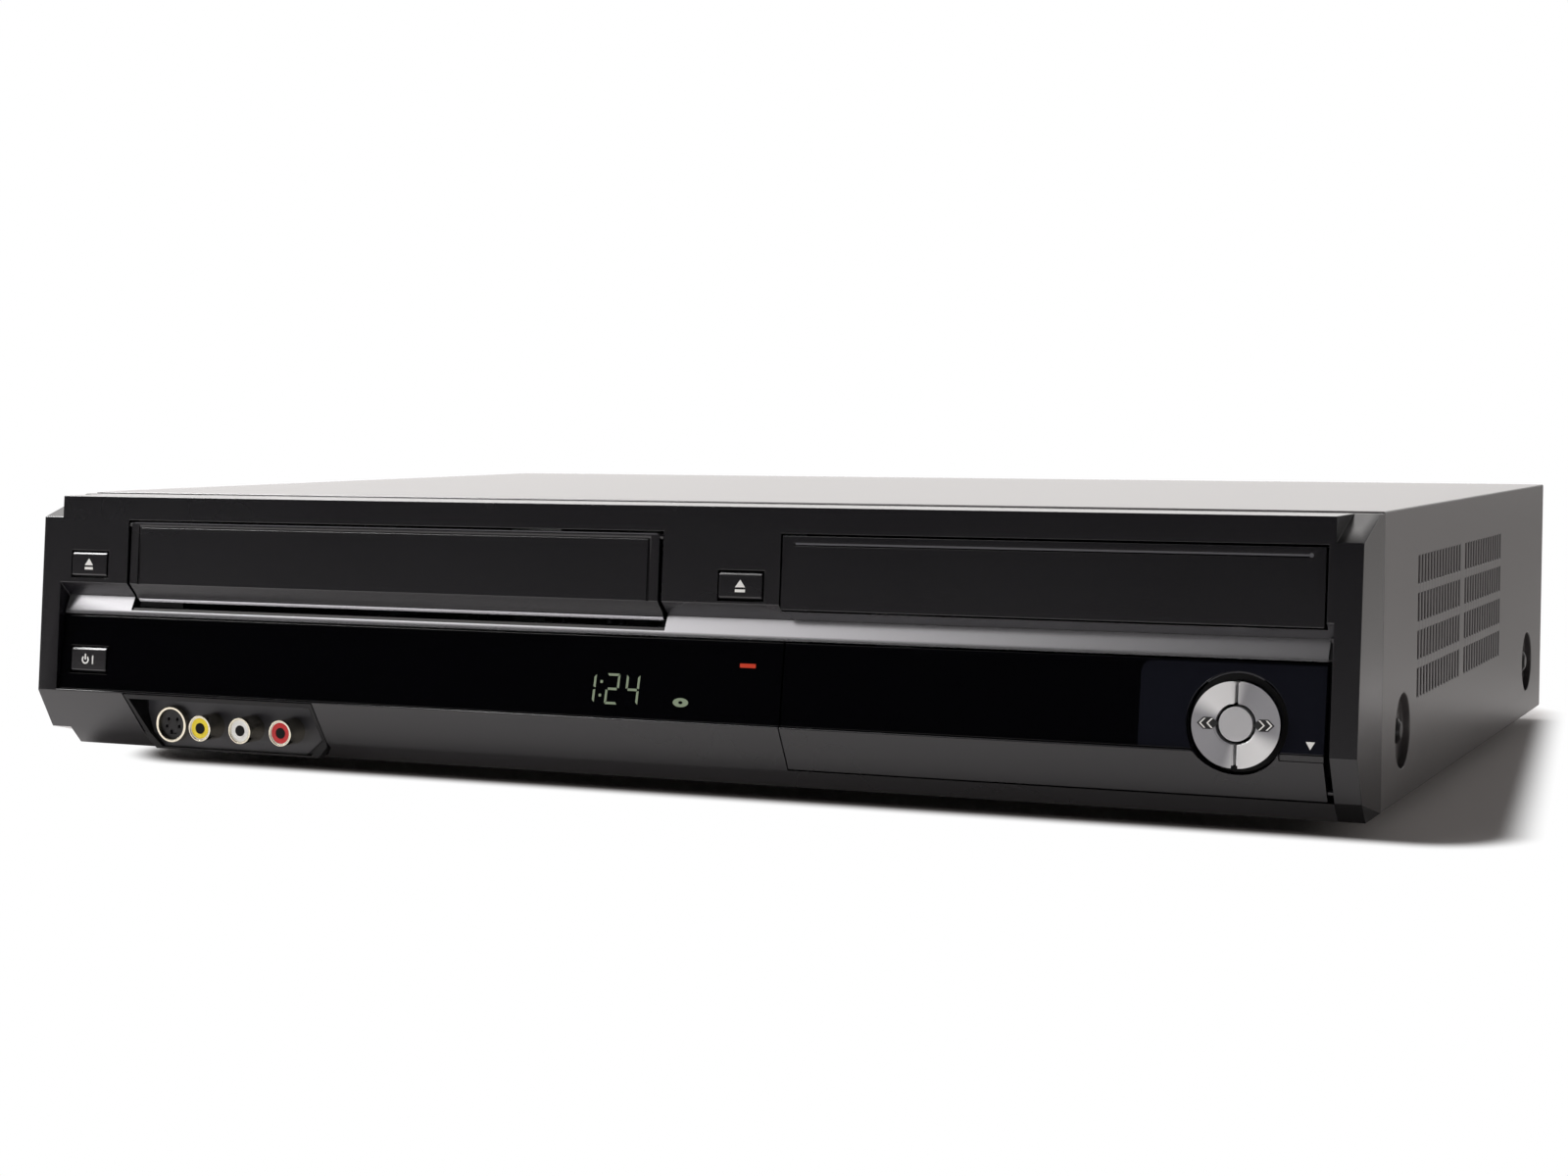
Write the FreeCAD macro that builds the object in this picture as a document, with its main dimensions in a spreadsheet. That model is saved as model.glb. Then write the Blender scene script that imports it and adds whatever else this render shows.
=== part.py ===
import FreeCAD, Part
import math
import os
import Sketcher
from FreeCAD import Placement, Rotation, Vector

# Cassette and disc recorder for a hi-fi shelf. Millimetres.
# X points right and Y points back as seen by the user, Z points up.
# The origin lies on the shelf, under the middle of the whole recorder.
SIZES = {
    # casing
    "body_width": 430.0,
    "body_height": 81.8,
    "body_clearance": 5.2,
    "cover_reach": 320.3,
    "socket_reach": 8.0,
    "sheet": 0.8,
    "sheet_gap": 0.3,
    "pan_thickness": 1.0,
    "pan_flange": 14.0,
    "pan_rib_width": 8.0,
    "pan_rib_height": 2.0,
    "pan_rib_front": 20.0,
    "pan_rib_back": 12.0,
    "seat_overlap": 0.2,
    "rear_inset": 1.2,
    "tab_width": 22.0,
    "tab_drop": 12.0,
    # feet
    "foot_radius": 17.0,
    "foot_inset_side": 48.0,
    "foot_inset_front": 62.0,
    "foot_inset_back": 48.0,
    "foot_pad_height": 1.8,
    # screws
    "screw_head_radius": 3.6,
    "screw_head_height": 2.0,
    "screw_shank_radius": 1.5,
    "screw_shank_length": 6.0,
    "lug_width": 16.0,
    "lug_top": 31.0,
    "dish_radius": 10.5,
    "dish_depth": 2.4,
    "dish_height": 24.4,
    "dish_front": 60.4,
    "dish_rear": 287.3,
    # side vents
    "vent_front": 80.3,
    "vent_length": 67.8,
    "vent_column_pitch": 76.6,
    "vent_top": 72.8,
    "vent_height": 8.2,
    "vent_row_pitch": 10.9,
    "vent_slot_width": 2.4,
    "vent_slots": 15,
    "vent_rows": 4,
    "vent_columns": 2,
    # front moulding
    "fascia_depth": 31.2,
    "fascia_wall": 2.4,
    "fascia_step": 0.5,
    "edge_rise": 18.2,
    "face_rise": 56.2,
    "face_lean": 5.16,
    "pillar_width": 7.3,
    "pillar_chamfer_run": 26.0,
    "slope_run": 6.9,
    "slope_drop": 12.7,
    "band_run": 5.0,
    "groove_top": 35.2,
    "groove_middle": 30.8,
    "groove_bottom": 26.0,
    "groove_depth": 4.8,
    "trim_thickness": 1.2,
    "trim_play": 0.1,
    "trim_lip": 1.4,
    "trim_edge": 0.5,
    "trim_end_gap": 1.6,
    # lower window and door
    "panel_recess_low": 1.0,
    "panel_recess_high": 2.6,
    "panel_thickness": 2.4,
    "panel_top": 24.6,
    "panel_bottom": 0.5,
    "split_shift": 0.6,
    "panel_gap": 0.5,
    "door_thickness": 1.8,
    "door_barrel": 2.7,
    "door_hinge_rise": 2.9,
    "door_hinge_inset": 2.2,
    "door_swing_gap": 0.3,
    "door_foot_gap": 0.35,
    "door_side_gap": 1.7,
    "pull_width": 11.8,
    "pull_height": 1.3,
    "pull_depth": 1.3,
    "control_plane": 9.5,
    "control_thickness": 2.0,
    "control_drop": 6.0,
    # cassette flap
    "slot_inset": 33.9,
    "slot_width": 192.3,
    "slot_top": 55.6,
    "flap_gap": 1.2,
    "flap_top_gap": 0.6,
    "flap_thickness": 2.0,
    "flap_frame": 2.9,
    "line_width": 0.9,
    "line_depth": 0.5,
    "flap_pin_radius": 1.0,
    "hinge_pin_length": 3.0,
    "ear_reach": 4.0,
    "pin_play": 0.06,
    # disc tray
    "tray_inset": 9.8,
    "tray_door_width": 155.8,
    "tray_door_low": 33.9,
    "tray_door_top": 55.0,
    "tray_door_gap": 0.6,
    "tray_door_thickness": 3.0,
    "tray_line_inset": 3.6,
    "tray_line_drop": 1.9,
    "tray_width": 132.0,
    "tray_length": 158.0,
    "tray_plate": 7.0,
    "tray_floor": 1.6,
    "tray_level": 62.0,
    "disc_radius": 61.0,
    "small_disc_radius": 41.0,
    "disc_back": 78.0,
    "tray_slot_width": 36.0,
    "tray_front_gap": 2.0,
    "rack_teeth": 48,
    "rack_side": -58.0,
    "rack_lead": 60.0,
    # disc drive
    "drive_width": 148.0,
    "drive_length": 176.0,
    "drive_front": 13.0,
    "drive_floor": 41.0,
    "drive_top": 82.5,
    "drive_wall": 1.6,
    "drive_foot": 9.0,
    "drive_well_front": 54.0,
    "drive_well_back": 46.0,
    "drive_lid_gap": 0.2,
    "runner_end": 2.0,
    "runner_gap": 0.2,
    "keeper_gap": 0.3,
    "runner_width": 5.0,
    "runner_height": 3.0,
    "turntable_radius": 15.0,
    "turntable_height": 3.0,
    "hub_radius": 7.45,
    "hub_height": 1.4,
    "hub_taper": 1.0,
    "spindle_motor_radius": 13.0,
    "spindle_radius": 1.5,
    "traverse_width": 96.0,
    "traverse_gap": 1.0,
    "traverse_reach": 74.0,
    "traverse_plate": 1.5,
    "traverse_slot": 32.0,
    "traverse_height": 10.0,
    "post_radius": 2.5,
    "clamp_radius": 17.0,
    "clamp_neck": 8.0,
    "clamp_thickness": 1.4,
    "clamp_height": 5.2,
    "sled_length": 24.0,
    "sled_width": 46.0,
    "rod_radius": 1.5,
    "rod_spacing": 40.0,
    "gear_module": 1.0,
    "gear_teeth": 18,
    "gear_width": 5.0,
    "gear_bore": 1.5,
    "tray_motor_radius": 8.5,
    "running_play": 0.05,
    # tape deck
    "cassette_width": 188.0,
    "cassette_depth": 104.0,
    "cassette_height": 25.0,
    "cassette_play": 0.4,
    "carrier_front": 33.5,
    "carrier_sheet": 1.0,
    "carrier_lip": 14.0,
    "carrier_travel": 70.0,
    "guide_wall": 1.5,
    "cover_low": 84.0,
    "chassis_top": 6.6,
    "deck_level": 14.0,
    "deck_thickness": 2.0,
    "deck_length": 236.0,
    "deck_side": 101.0,
    "deck_leg_inset": 4.0,
    "deck_leg_width": 8.0,
    "deck_leg_front": 12.0,
    "deck_leg_back": 200.0,
    "reel_spacing": 92.0,
    "reel_back": 148.0,
    "reel_flange_radius": 20.0,
    "reel_hub_radius": 11.0,
    "reel_height": 22.0,
    "drum_back": 250.0,
    "drum_radius": 31.0,
    "drum_lower_height": 22.0,
    "drum_upper_height": 19.0,
    "drum_tilt": 5.0,
    "capstan_radius": 1.5,
    "capstan_side": 54.0,
    "capstan_back": 226.0,
    "capstan_height": 42.0,
    "flywheel_radius": 22.0,
    "flywheel_height": 4.0,
    "pinch_radius": 7.5,
    "pinch_height": 14.0,
    "pinch_arm": 19.5,
    "pinch_angle": 231.0,
    "pinch_pivot_side": 26.0,
    "pinch_pivot_back": 10.0,
    # buttons
    "key_width": 13.7,
    "key_height": 8.0,
    "key_gap": 0.5,
    "key_travel": 1.2,
    "key_depth": 8.0,
    "key_proud": 0.3,
    "key_bevel": 0.8,
    "eject_inset": 18.9,
    "eject_rise": 41.1,
    "open_inset": 12.8,
    "open_rise": 40.4,
    "power_inset": 18.8,
    "power_rise": 10.2,
    "ring_inset": 32.5,
    "ring_rise": 7.8,
    "ring_radius": 11.0,
    "ring_cap_radius": 4.6,
    "ring_cap_gap": 0.9,
    "ring_split": 0.9,
    "ring_hole_radius": 13.8,
    "ring_sunk": 0.45,
    "small_key_radius": 3.2,
    "small_key_pitch": 24.0,
    "small_key_inset": 14.0,
    "small_key_rise": 6.0,
    "small_keys": 4,
    # front sockets
    "bay_inset": 35.6,
    "bay_width": 69.8,
    "bay_depth": 9.5,
    "bay_wall": 1.6,
    "bay_rim_run": 1.0,
    "bay_left_slant": 3.4,
    "bay_right_slant": 1.0,
    "bay_corner": 4.6,
    "jack_inset": 27.2,
    "jack_pitch": 15.3,
    "jack_rise": 10.0,
    "jack_shell_radius": 4.15,
    "jack_shell_wall": 0.5,
    "jack_collar_step": 0.5,
    "jack_bore_radius": 1.65,
    "jack_length": 8.0,
    "din_radius": 5.8,
    # electronics
    "board_thickness": 1.6,
    "board_level": 13.0,
    "board_post_radius": 3.0,
    "board_post_inset": 4.0,
    "board_side_gap": 6.0,
    "board_end_gap": 14.0,
    "power_board_gap": 10.05,
    "inlet_clearance": 104.0,
    "tube_length": 76.0,
    "tube_height": 17.0,
    "tube_depth": 7.0,
    "tube_gap": 0.3,
    "fan_size": 50.0,
    "fan_depth": 12.0,
    "fan_strut": 3.0,
    "fan_strut_depth": 2.0,
    "fan_blades": 7,
    "fan_inset": 111.0,
    "fan_level": 46.0,
    # rear sockets
    "scart_inset": 75.0,
    "scart_width": 54.0,
    "scart_height": 20.0,
    "scart_lip": 2.0,
    "scart_groove": 1.6,
    "scart_depth": 8.0,
    "aerial_inset": 31.0,
    "aerial_radius": 6.5,
    "aerial_bore": 4.7,
    "aerial_pin": 1.2,
    "tuner_width": 24.0,
    "tuner_depth": 36.0,
    "tuner_low": 24.0,
    "tuner_top": 72.0,
    "tuner_post_radius": 4.0,
    "riser_top": 74.0,
    "socket_board_depth": 34.0,
    "rear_jack_columns": 5,
    "rear_jack_inset": 22.0,
    "hdmi_inset": 22.8,
    "inlet_inset": 47.0,
}


class Size:
    """A length with its value and its formula in the sheet."""

    def __init__(self, value, formula):
        self.value = float(value)
        self.formula = formula

    def __add__(self, other):
        other = size_of(other)
        return Size(self.value + other.value, "(%s + %s)" % (self.formula, other.formula))

    def __sub__(self, other):
        other = size_of(other)
        return Size(self.value - other.value, "(%s - %s)" % (self.formula, other.formula))

    def __mul__(self, other):
        other = size_of(other)
        return Size(self.value * other.value, "(%s * %s)" % (self.formula, other.formula))

    def __truediv__(self, other):
        other = size_of(other)
        return Size(self.value / other.value, "(%s / %s)" % (self.formula, other.formula))

    def __neg__(self):
        return Size(-self.value, "(-%s)" % self.formula)

    def __radd__(self, other):
        return size_of(other) + self

    def __rsub__(self, other):
        return size_of(other) - self

    def __rmul__(self, other):
        return size_of(other) * self


def size_of(number):
    if isinstance(number, Size):
        return number
    return Size(number, "(%r)" % number)


class Sheet:
    """The driving sizes, read by name."""

    def __init__(self, document, sizes):
        table = document.addObject("Spreadsheet::Sheet", "Sizes")
        for row, (word, value) in enumerate(sizes.items(), 1):
            table.set("A%d" % row, word)
            table.set("B%d" % row, str(value))
            table.setAlias("B%d" % row, word)
        document.recompute()
        self.table = table

    def __getattr__(self, word):
        return Size(self.table.get(word), "Sizes." + word)


doc = FreeCAD.newDocument("Recorder")
s = Sheet(doc, SIZES)
nodes = {}

# Lines that many pieces share
front = -(s.cover_reach + s.socket_reach) / 2
back = front + s.cover_reach
half = s.body_width / 2
bottom = s.body_clearance
top = bottom + s.body_height
edge = bottom + s.edge_rise
join = front + s.fascia_depth
fascia_top = top - s.fascia_step
seam = half - s.pillar_width
slot_left = -half + s.slot_inset
slot_right = slot_left + s.slot_width
slot_middle = (slot_left + slot_right) / 2
tray_right = half - s.tray_inset
tray_left = tray_right - s.tray_door_width
tray_middle = (tray_left + tray_right) / 2
panel_split = tray_left + s.split_shift
eject_side = -half + s.eject_inset
power_side = -half + s.power_inset
open_side = tray_left - s.open_inset
ring_side = half - s.ring_inset
small_key_first = panel_split + s.small_key_inset
bay_left = -half + s.bay_inset
bay_right = bay_left + s.bay_width
jack_first = bay_left + s.jack_inset
fan_side = half - s.fan_inset
scart_left = -half + s.scart_inset
aerial_side = -half + s.aerial_inset
rear_jack_side = scart_left + s.scart_width + s.rear_jack_inset
hdmi_side = rear_jack_side + s.jack_pitch * (s.rear_jack_columns - 1) + s.hdmi_inset
inlet_side = half - s.inlet_inset
socket_board_right = inlet_side - s.inlet_clearance
rear_face = back - s.rear_inset
slot_low = edge + s.groove_bottom + s.trim_lip
slot_top = edge + s.slot_top
cover_inside = top - s.sheet


def face(rise, depth=0):
    """Y of the leaning front face, rise above the front edge, depth behind it."""
    return front + rise * s.face_lean / s.face_rise + depth


def sunk(rise, depth=0):
    """Y of the lower panel, which leans back more than the face above it."""
    share = (s.panel_recess_high - s.panel_recess_low) / s.panel_top
    return face(rise, s.panel_recess_low + share * rise + depth)


def bind(item, path, size):
    item.setExpression(path, size_of(size).formula)


def place(item, x, y, z):
    bind(item, "Placement.Base.x", x)
    bind(item, "Placement.Base.y", y)
    bind(item, "Placement.Base.z", z)
    return item


def turn(item, axis, angle):
    """Turn an item about its own origin by a fixed angle in degrees."""
    item.Placement = Placement(Vector(0, 0, 0), Rotation(axis, angle))
    return item


def block(name, low, high):
    """A box between two corners."""
    box = doc.addObject("Part::Box", name)
    for path, start, end in zip(("Length", "Width", "Height"), low, high):
        bind(box, path, size_of(end) - start)
    return place(box, *low)


def rod(name, start, axis, radius, length):
    """A cylinder that starts at a point and runs along +X, +Y or +Z."""
    bar = doc.addObject("Part::Cylinder", name)
    bind(bar, "Radius", radius)
    bind(bar, "Height", length)
    if axis == "x":
        turn(bar, Vector(0, 1, 0), 90)
    if axis == "y":
        turn(bar, Vector(1, 0, 0), -90)
    return place(bar, *start)


def tube(name, start, axis, outer, inner, length):
    bar = rod(name + "Outer", start, axis, outer, length)
    bore = rod(name + "Bore", start, axis, inner, length)
    return cut(name, bar, bore)


def fuse(name, *pieces):
    if len(pieces) == 1:
        return pieces[0]
    joined = doc.addObject("Part::MultiFuse", name)
    joined.Shapes = list(pieces)
    return joined


def cut(name, base, *tools):
    result = doc.addObject("Part::Cut", name)
    result.Base = base
    result.Tool = fuse(name + "Tools", *tools)
    return result


def common(name, base, tool):
    result = doc.addObject("Part::Common", name)
    result.Base = base
    result.Tool = tool
    return result


def group(name, *pieces):
    """Separate solids that share a node."""
    together = doc.addObject("Part::Compound", name)
    together.Links = list(pieces)
    return together


def origin_plane(body, role):
    for feature in body.Origin.OriginFeatures:
        if feature.Role == role:
            return feature
    raise ValueError(role)


def outline(body, role, corners, offset):
    """A closed sketch whose corners are bound to the sheet."""
    sketch = body.newObject("Sketcher::SketchObject", body.Name + "Sketch")
    sketch.AttachmentSupport = [(origin_plane(body, role), "")]
    sketch.MapMode = "FlatFace"
    bind(sketch, "AttachmentOffset.Base.z", offset)
    spots = [Vector(size_of(x).value, size_of(y).value, 0) for x, y in corners]
    count = len(spots)
    for index, spot in enumerate(spots):
        sketch.addGeometry(Part.LineSegment(spot, spots[(index + 1) % count]), False)
    for index in range(count):
        sketch.addConstraint(Sketcher.Constraint("Coincident", index, 2, (index + 1) % count, 1))
    for index, (corner, spot) in enumerate(zip(corners, spots)):
        for letter, kind, size, value in (
            ("x", "DistanceX", corner[0], spot.x),
            ("y", "DistanceY", corner[1], spot.y),
        ):
            number = sketch.addConstraint(Sketcher.Constraint(kind, -1, 1, index, 1, value))
            label = "%s%d" % (letter, index)
            sketch.renameConstraint(number, label)
            bind(sketch, "Constraints." + label, size)
    return sketch


def pad(name, role, corners, offset, length):
    body = doc.addObject("PartDesign::Body", name)
    sketch = outline(body, role, corners, offset)
    solid = body.newObject("PartDesign::Pad", name + "Pad")
    solid.Profile = sketch
    solid.Length = size_of(length).value
    bind(solid, "Length", length)
    sketch.Visibility = False
    return body


def profile_x(name, corners, low, high):
    """A side profile in Y and Z that runs along X."""
    return pad(name, "YZ_Plane", corners, low, size_of(high) - low)


def profile_y(name, corners, low, high):
    """A front profile in X and Z that runs along Y."""
    return pad(name, "XZ_Plane", corners, -size_of(high), size_of(high) - low)


def profile_z(name, corners, low, high):
    """A plan in X and Y that runs along Z."""
    return pad(name, "XY_Plane", corners, low, size_of(high) - low)


def turned(name, corners):
    """A profile in radius and height, revolved about its own Z axis."""
    body = doc.addObject("PartDesign::Body", name)
    sketch = outline(body, "XZ_Plane", corners, 0)
    solid = body.newObject("PartDesign::Revolution", name + "Turn")
    solid.Profile = sketch
    solid.ReferenceAxis = (sketch, ["V_Axis"])
    solid.Angle = 360.0
    return body


def keep(node, item):
    item.Label = node
    nodes[node] = item
    return item


# Casing


def make_cover():
    """Folded steel lid with vents, dished screw seats and rear tabs."""
    shell = block("CoverOuter", (-half, join, bottom), (half, back, top))
    inside = block(
        "CoverInside",
        (-half + s.sheet, join - 1, bottom - 1),
        (half - s.sheet, back + 1, cover_inside),
    )
    sheet = cut("CoverSheet", shell, inside)
    pieces = [sheet]
    cuts = []
    for side, sign in (("Left", -1), ("Right", 1)):
        for spot, reach in (("Front", s.dish_front), ("Rear", s.dish_rear)):
            cup_depth = s.dish_depth + s.sheet
            start = -half if sign < 0 else half - cup_depth
            seat = (start, front + reach, s.dish_height)
            pieces.append(rod("Cup" + side + spot, seat, "x", s.dish_radius + s.sheet, cup_depth))
            mouth = -half - 1 if sign < 0 else half - s.dish_depth
            hollow = (mouth, front + reach, s.dish_height)
            cuts.append(rod("Dish" + side + spot, hollow, "x", s.dish_radius, s.dish_depth + 1))
            hole = (start - 1, front + reach, s.dish_height)
            bore = s.screw_shank_radius + s.pin_play
            cuts.append(rod("DishHole" + side + spot, hole, "x", bore, cup_depth + 2))
    pieces.extend(cover_tabs())
    cuts.extend(vent_slots())
    return keep("top_cover", cut("TopCover", fuse("CoverBlank", *pieces), *cuts))


def tab_sides():
    return (-half * 0.6, size_of(0), half * 0.6)


def cover_tabs():
    """Three tabs that hang down behind the rear panel."""
    tabs = []
    for number, side in enumerate(tab_sides()):
        left = side - s.tab_width / 2
        low = cover_inside - s.tab_drop
        plate = block(
            "Tab%d" % number,
            (left, back - s.sheet, low),
            (left + s.tab_width, back, top - s.sheet / 2),
        )
        centre = (side, back - s.sheet - 1, low + s.tab_drop / 2)
        hole = rod("TabHole%d" % number, centre, "y", s.screw_shank_radius + s.pin_play, s.sheet + 2)
        tabs.append(cut("TabCut%d" % number, plate, hole))
    return tabs


def vent_slots():
    """Upright slots in rows and columns, pierced through both sides."""
    slots = []
    count = int(s.vent_slots.value)
    pitch = (s.vent_length - s.vent_slot_width) / (count - 1)
    for column in range(int(s.vent_columns.value)):
        for row in range(int(s.vent_rows.value)):
            high = s.vent_top - s.vent_row_pitch * row
            for number in range(count):
                near = front + s.vent_front + s.vent_column_pitch * column + pitch * number
                low_corner = (-half - 1, near, high - s.vent_height)
                high_corner = (half + 1, near + s.vent_slot_width, high)
                slots.append(block("Vent%d%d%d" % (column, row, number), low_corner, high_corner))
    return slots


# Places of the pan's ribs, as shares of half the width
RIB_SHARES = (-0.55, -0.15, 0.2, 0.75)


def make_chassis():
    """Steel pan with turned-up sides and pressed stiffening ribs."""
    side = half - s.sheet - s.sheet_gap
    near = join + s.sheet_gap
    far = rear_face - s.sheet - s.sheet_gap
    floor = bottom + s.sheet_gap
    deck = floor + s.pan_thickness
    outer = block("PanOuter", (-side, near, floor), (side, far, floor + s.pan_flange))
    inner = block(
        "PanInner",
        (-side + s.pan_thickness, near - 1, deck),
        (side - s.pan_thickness, far + 1, floor + s.pan_flange + 1),
    )
    notches = []
    lugs = []
    for number, reach in enumerate((s.dish_front, s.dish_rear)):
        radius = s.dish_radius + s.sheet + s.sheet_gap
        start = (-half, front + reach, s.dish_height)
        notches.append(rod("PanNotch%d" % number, start, "x", radius, half * 2))
        lugs.extend(pan_lugs(number, front + reach, deck))
    pan = cut("PanSheet", outer, inner, *notches)
    ribs = []
    for number, share in enumerate(RIB_SHARES):
        left = half * share
        ribs.append(
            block(
                "PanRib%d" % number,
                (left, near + s.pan_rib_front, deck - s.seat_overlap),
                (left + s.pan_rib_width, far - s.pan_rib_back, deck + s.pan_rib_height),
            )
        )
    return keep("chassis_pan", fuse("ChassisPan", pan, *ribs, *lugs))


def pan_lugs(number, depth, deck):
    """Upright lugs behind a pair of dished seats, bored for the side screws."""
    outside = half - s.dish_depth - s.sheet - s.sheet_gap
    lugs = []
    inside = outside - s.pan_thickness
    for side, low, high in (("Left", -outside, -inside), ("Right", inside, outside)):
        name = "Lug%s%d" % (side, number)
        near = depth - s.lug_width / 2
        plate = block(name, (low, near, deck - s.seat_overlap), (high, near + s.lug_width, s.lug_top))
        bore = s.screw_shank_radius + s.pin_play
        hole = rod(name + "Hole", (low - 1, depth, s.dish_height), "x", bore, s.pan_thickness + 2)
        lugs.append(cut(name + "Cut", plate, hole))
    return lugs


def foot_spots():
    sides = (-half + s.foot_inset_side, half - s.foot_inset_side)
    depths = (front + s.foot_inset_front, back - s.foot_inset_back)
    return [(side, depth) for side in sides for depth in depths]


def make_feet():
    """Round feet under the pan, each with a hollow sole and a soft pad."""
    radius = s.foot_radius
    height = bottom + s.sheet_gap
    feet = []
    pads = []
    for number, (side, depth) in enumerate(foot_spots()):
        foot = turned(
            "Foot%d" % number,
            [(0, s.foot_pad_height), (radius - 2, s.foot_pad_height), (radius, height), (0, height)],
        )
        feet.append(place(foot, side, depth, 0))
        pads.append(rod("FootPad%d" % number, (side, depth, 0), "z", radius - 4, s.foot_pad_height))
    keep("feet", group("Feet", *feet))
    keep("foot_pads", group("FootPads", *pads))


def cap_screw(name):
    """Pan head with a cross recess on a plain shank, head up."""
    head = s.screw_head_radius
    rise = s.screw_head_height
    shank = s.screw_shank_radius
    screw = turned(
        name + "Body",
        [
            (0, -s.screw_shank_length),
            (shank, -s.screw_shank_length),
            (shank, 0),
            (head, 0),
            (head, rise * 0.5),
            (head * 0.6, rise),
            (0, rise),
        ],
    )
    return screw


def make_screws():
    """Side screws in their dishes and rear screws in the tabs."""
    screws = []
    for side, sign in (("Left", -1), ("Right", 1)):
        for spot, reach in (("Front", s.dish_front), ("Rear", s.dish_rear)):
            screw = cap_screw("SideScrew" + side + spot)
            turn(screw, Vector(0, 1, 0), 90 * sign)
            face_x = (half - s.dish_depth) * sign
            screws.append(place(screw, face_x, front + reach, s.dish_height))
    height = cover_inside - s.tab_drop / 2
    for number, side in enumerate(tab_sides()):
        screw = cap_screw("RearScrew%d" % number)
        turn(screw, Vector(1, 0, 0), -90)
        screws.append(place(screw, side, back, height))
    keep("cover_screws", group("CoverScrews", *screws))


# Front moulding


def fascia_shell():
    """Outer form: raked centre with chamfered end pillars."""
    centre = profile_x(
        "FasciaCentre",
        [
            (front, edge),
            (front + s.slope_run, edge - s.slope_drop),
            (front + s.slope_run + s.band_run, bottom),
            (join, bottom),
            (join, fascia_top),
            (face(fascia_top - edge), fascia_top),
        ],
        -seam,
        seam,
    )
    ends = []
    pillar_top = edge + s.face_rise
    for side, low, high in (("Left", -half, -seam), ("Right", seam, half)):
        end = profile_x(
            "FasciaEnd" + side,
            [
                (front, edge),
                (front + s.slope_run, edge - s.slope_drop),
                (join, bottom),
                (join, fascia_top),
                (front + s.pillar_chamfer_run, fascia_top),
                (face(s.face_rise), pillar_top),
            ],
            low,
            high,
        )
        ends.append(end)
    return fuse("FasciaOuter", centre, *ends)


def fascia_hollow():
    """Inner form, one wall behind the face, the groove and the lower panel."""
    wall = s.fascia_wall
    deep = s.panel_thickness + wall
    side = seam - wall
    middle = profile_x(
        "HollowCentre",
        [
            (join + 1, bottom + wall),
            (front + s.slope_run + s.band_run + wall, bottom + wall),
            (front + s.slope_run + wall * 1.4, edge - s.slope_drop + wall),
            (sunk(0, deep), edge),
            (sunk(s.panel_top, deep), edge + s.panel_top),
            (face(s.groove_middle, s.groove_depth + wall + 0.4), edge + s.groove_middle - 2),
            (face(s.groove_middle, s.groove_depth + wall), edge + s.groove_middle + 1),
            (face(s.groove_top, wall), edge + s.groove_top + 1.5),
            (face(fascia_top - edge - wall, wall), fascia_top - wall),
            (join + 1, fascia_top - wall),
        ],
        -side,
        side,
    )
    ends = []
    outer = half - wall
    for name, low, high in (("Left", -outer, -side + 1), ("Right", side - 1, outer)):
        end = profile_x(
            "HollowEnd" + name,
            [
                (join + 1, bottom + wall * 1.5),
                (front + s.slope_run + wall * 1.4, edge - s.slope_drop + wall),
                (sunk(0, deep), edge),
                (face(s.face_rise, deep + s.panel_recess_low), edge + s.face_rise - wall * 1.5),
                (front + s.pillar_chamfer_run + wall, fascia_top - wall * 1.5),
                (join + 1, fascia_top - wall * 1.5),
            ],
            low,
            high,
        )
        ends.append(end)
    return [middle, *ends]


def groove_cut():
    """V-shaped groove across the face and the seat of the lower panel."""
    ahead = front - 5
    base = s.groove_bottom - s.trim_thickness
    groove = profile_x(
        "Groove",
        [
            (ahead, edge + s.groove_top),
            (face(s.groove_top), edge + s.groove_top),
            (face(s.groove_middle, s.groove_depth), edge + s.groove_middle),
            (face(s.groove_middle, s.groove_depth), edge + s.groove_middle - s.trim_thickness),
            (sunk(base), edge + base),
            (ahead, edge + base),
        ],
        -seam,
        seam,
    )
    seat = profile_x(
        "PanelSeat",
        [
            (ahead, edge + base + 0.2),
            (sunk(base, s.panel_thickness), edge + base + 0.2),
            (sunk(s.panel_bottom, s.panel_thickness), edge + s.panel_bottom),
            (ahead, edge + s.panel_bottom),
        ],
        -seam,
        seam,
    )
    return [groove, seat]


def key_hole(name, side, rise, gap):
    wide = s.key_width / 2 + gap
    tall = s.key_height / 2 + gap
    return block(
        name,
        (side - wide, front - 5, edge + rise - tall),
        (side + wide, front + s.fascia_depth / 2, edge + rise + tall),
    )


def bay_cut(name, grow):
    """Wedge-ended pocket in the slope for the front sockets."""
    low = bottom + s.bay_wall / 2 - grow
    high = edge - s.bay_wall
    left = bay_left - grow
    right = bay_right + grow
    corner = s.bay_corner
    return profile_y(
        name,
        [
            (left, high + grow),
            (left + s.bay_left_slant, low + corner),
            (left + s.bay_left_slant + corner, low),
            (right - corner, low),
            (right, low + corner),
            (right - s.bay_right_slant, high + grow),
        ],
        front - 5,
        front + s.bay_depth + grow,
    )


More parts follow.
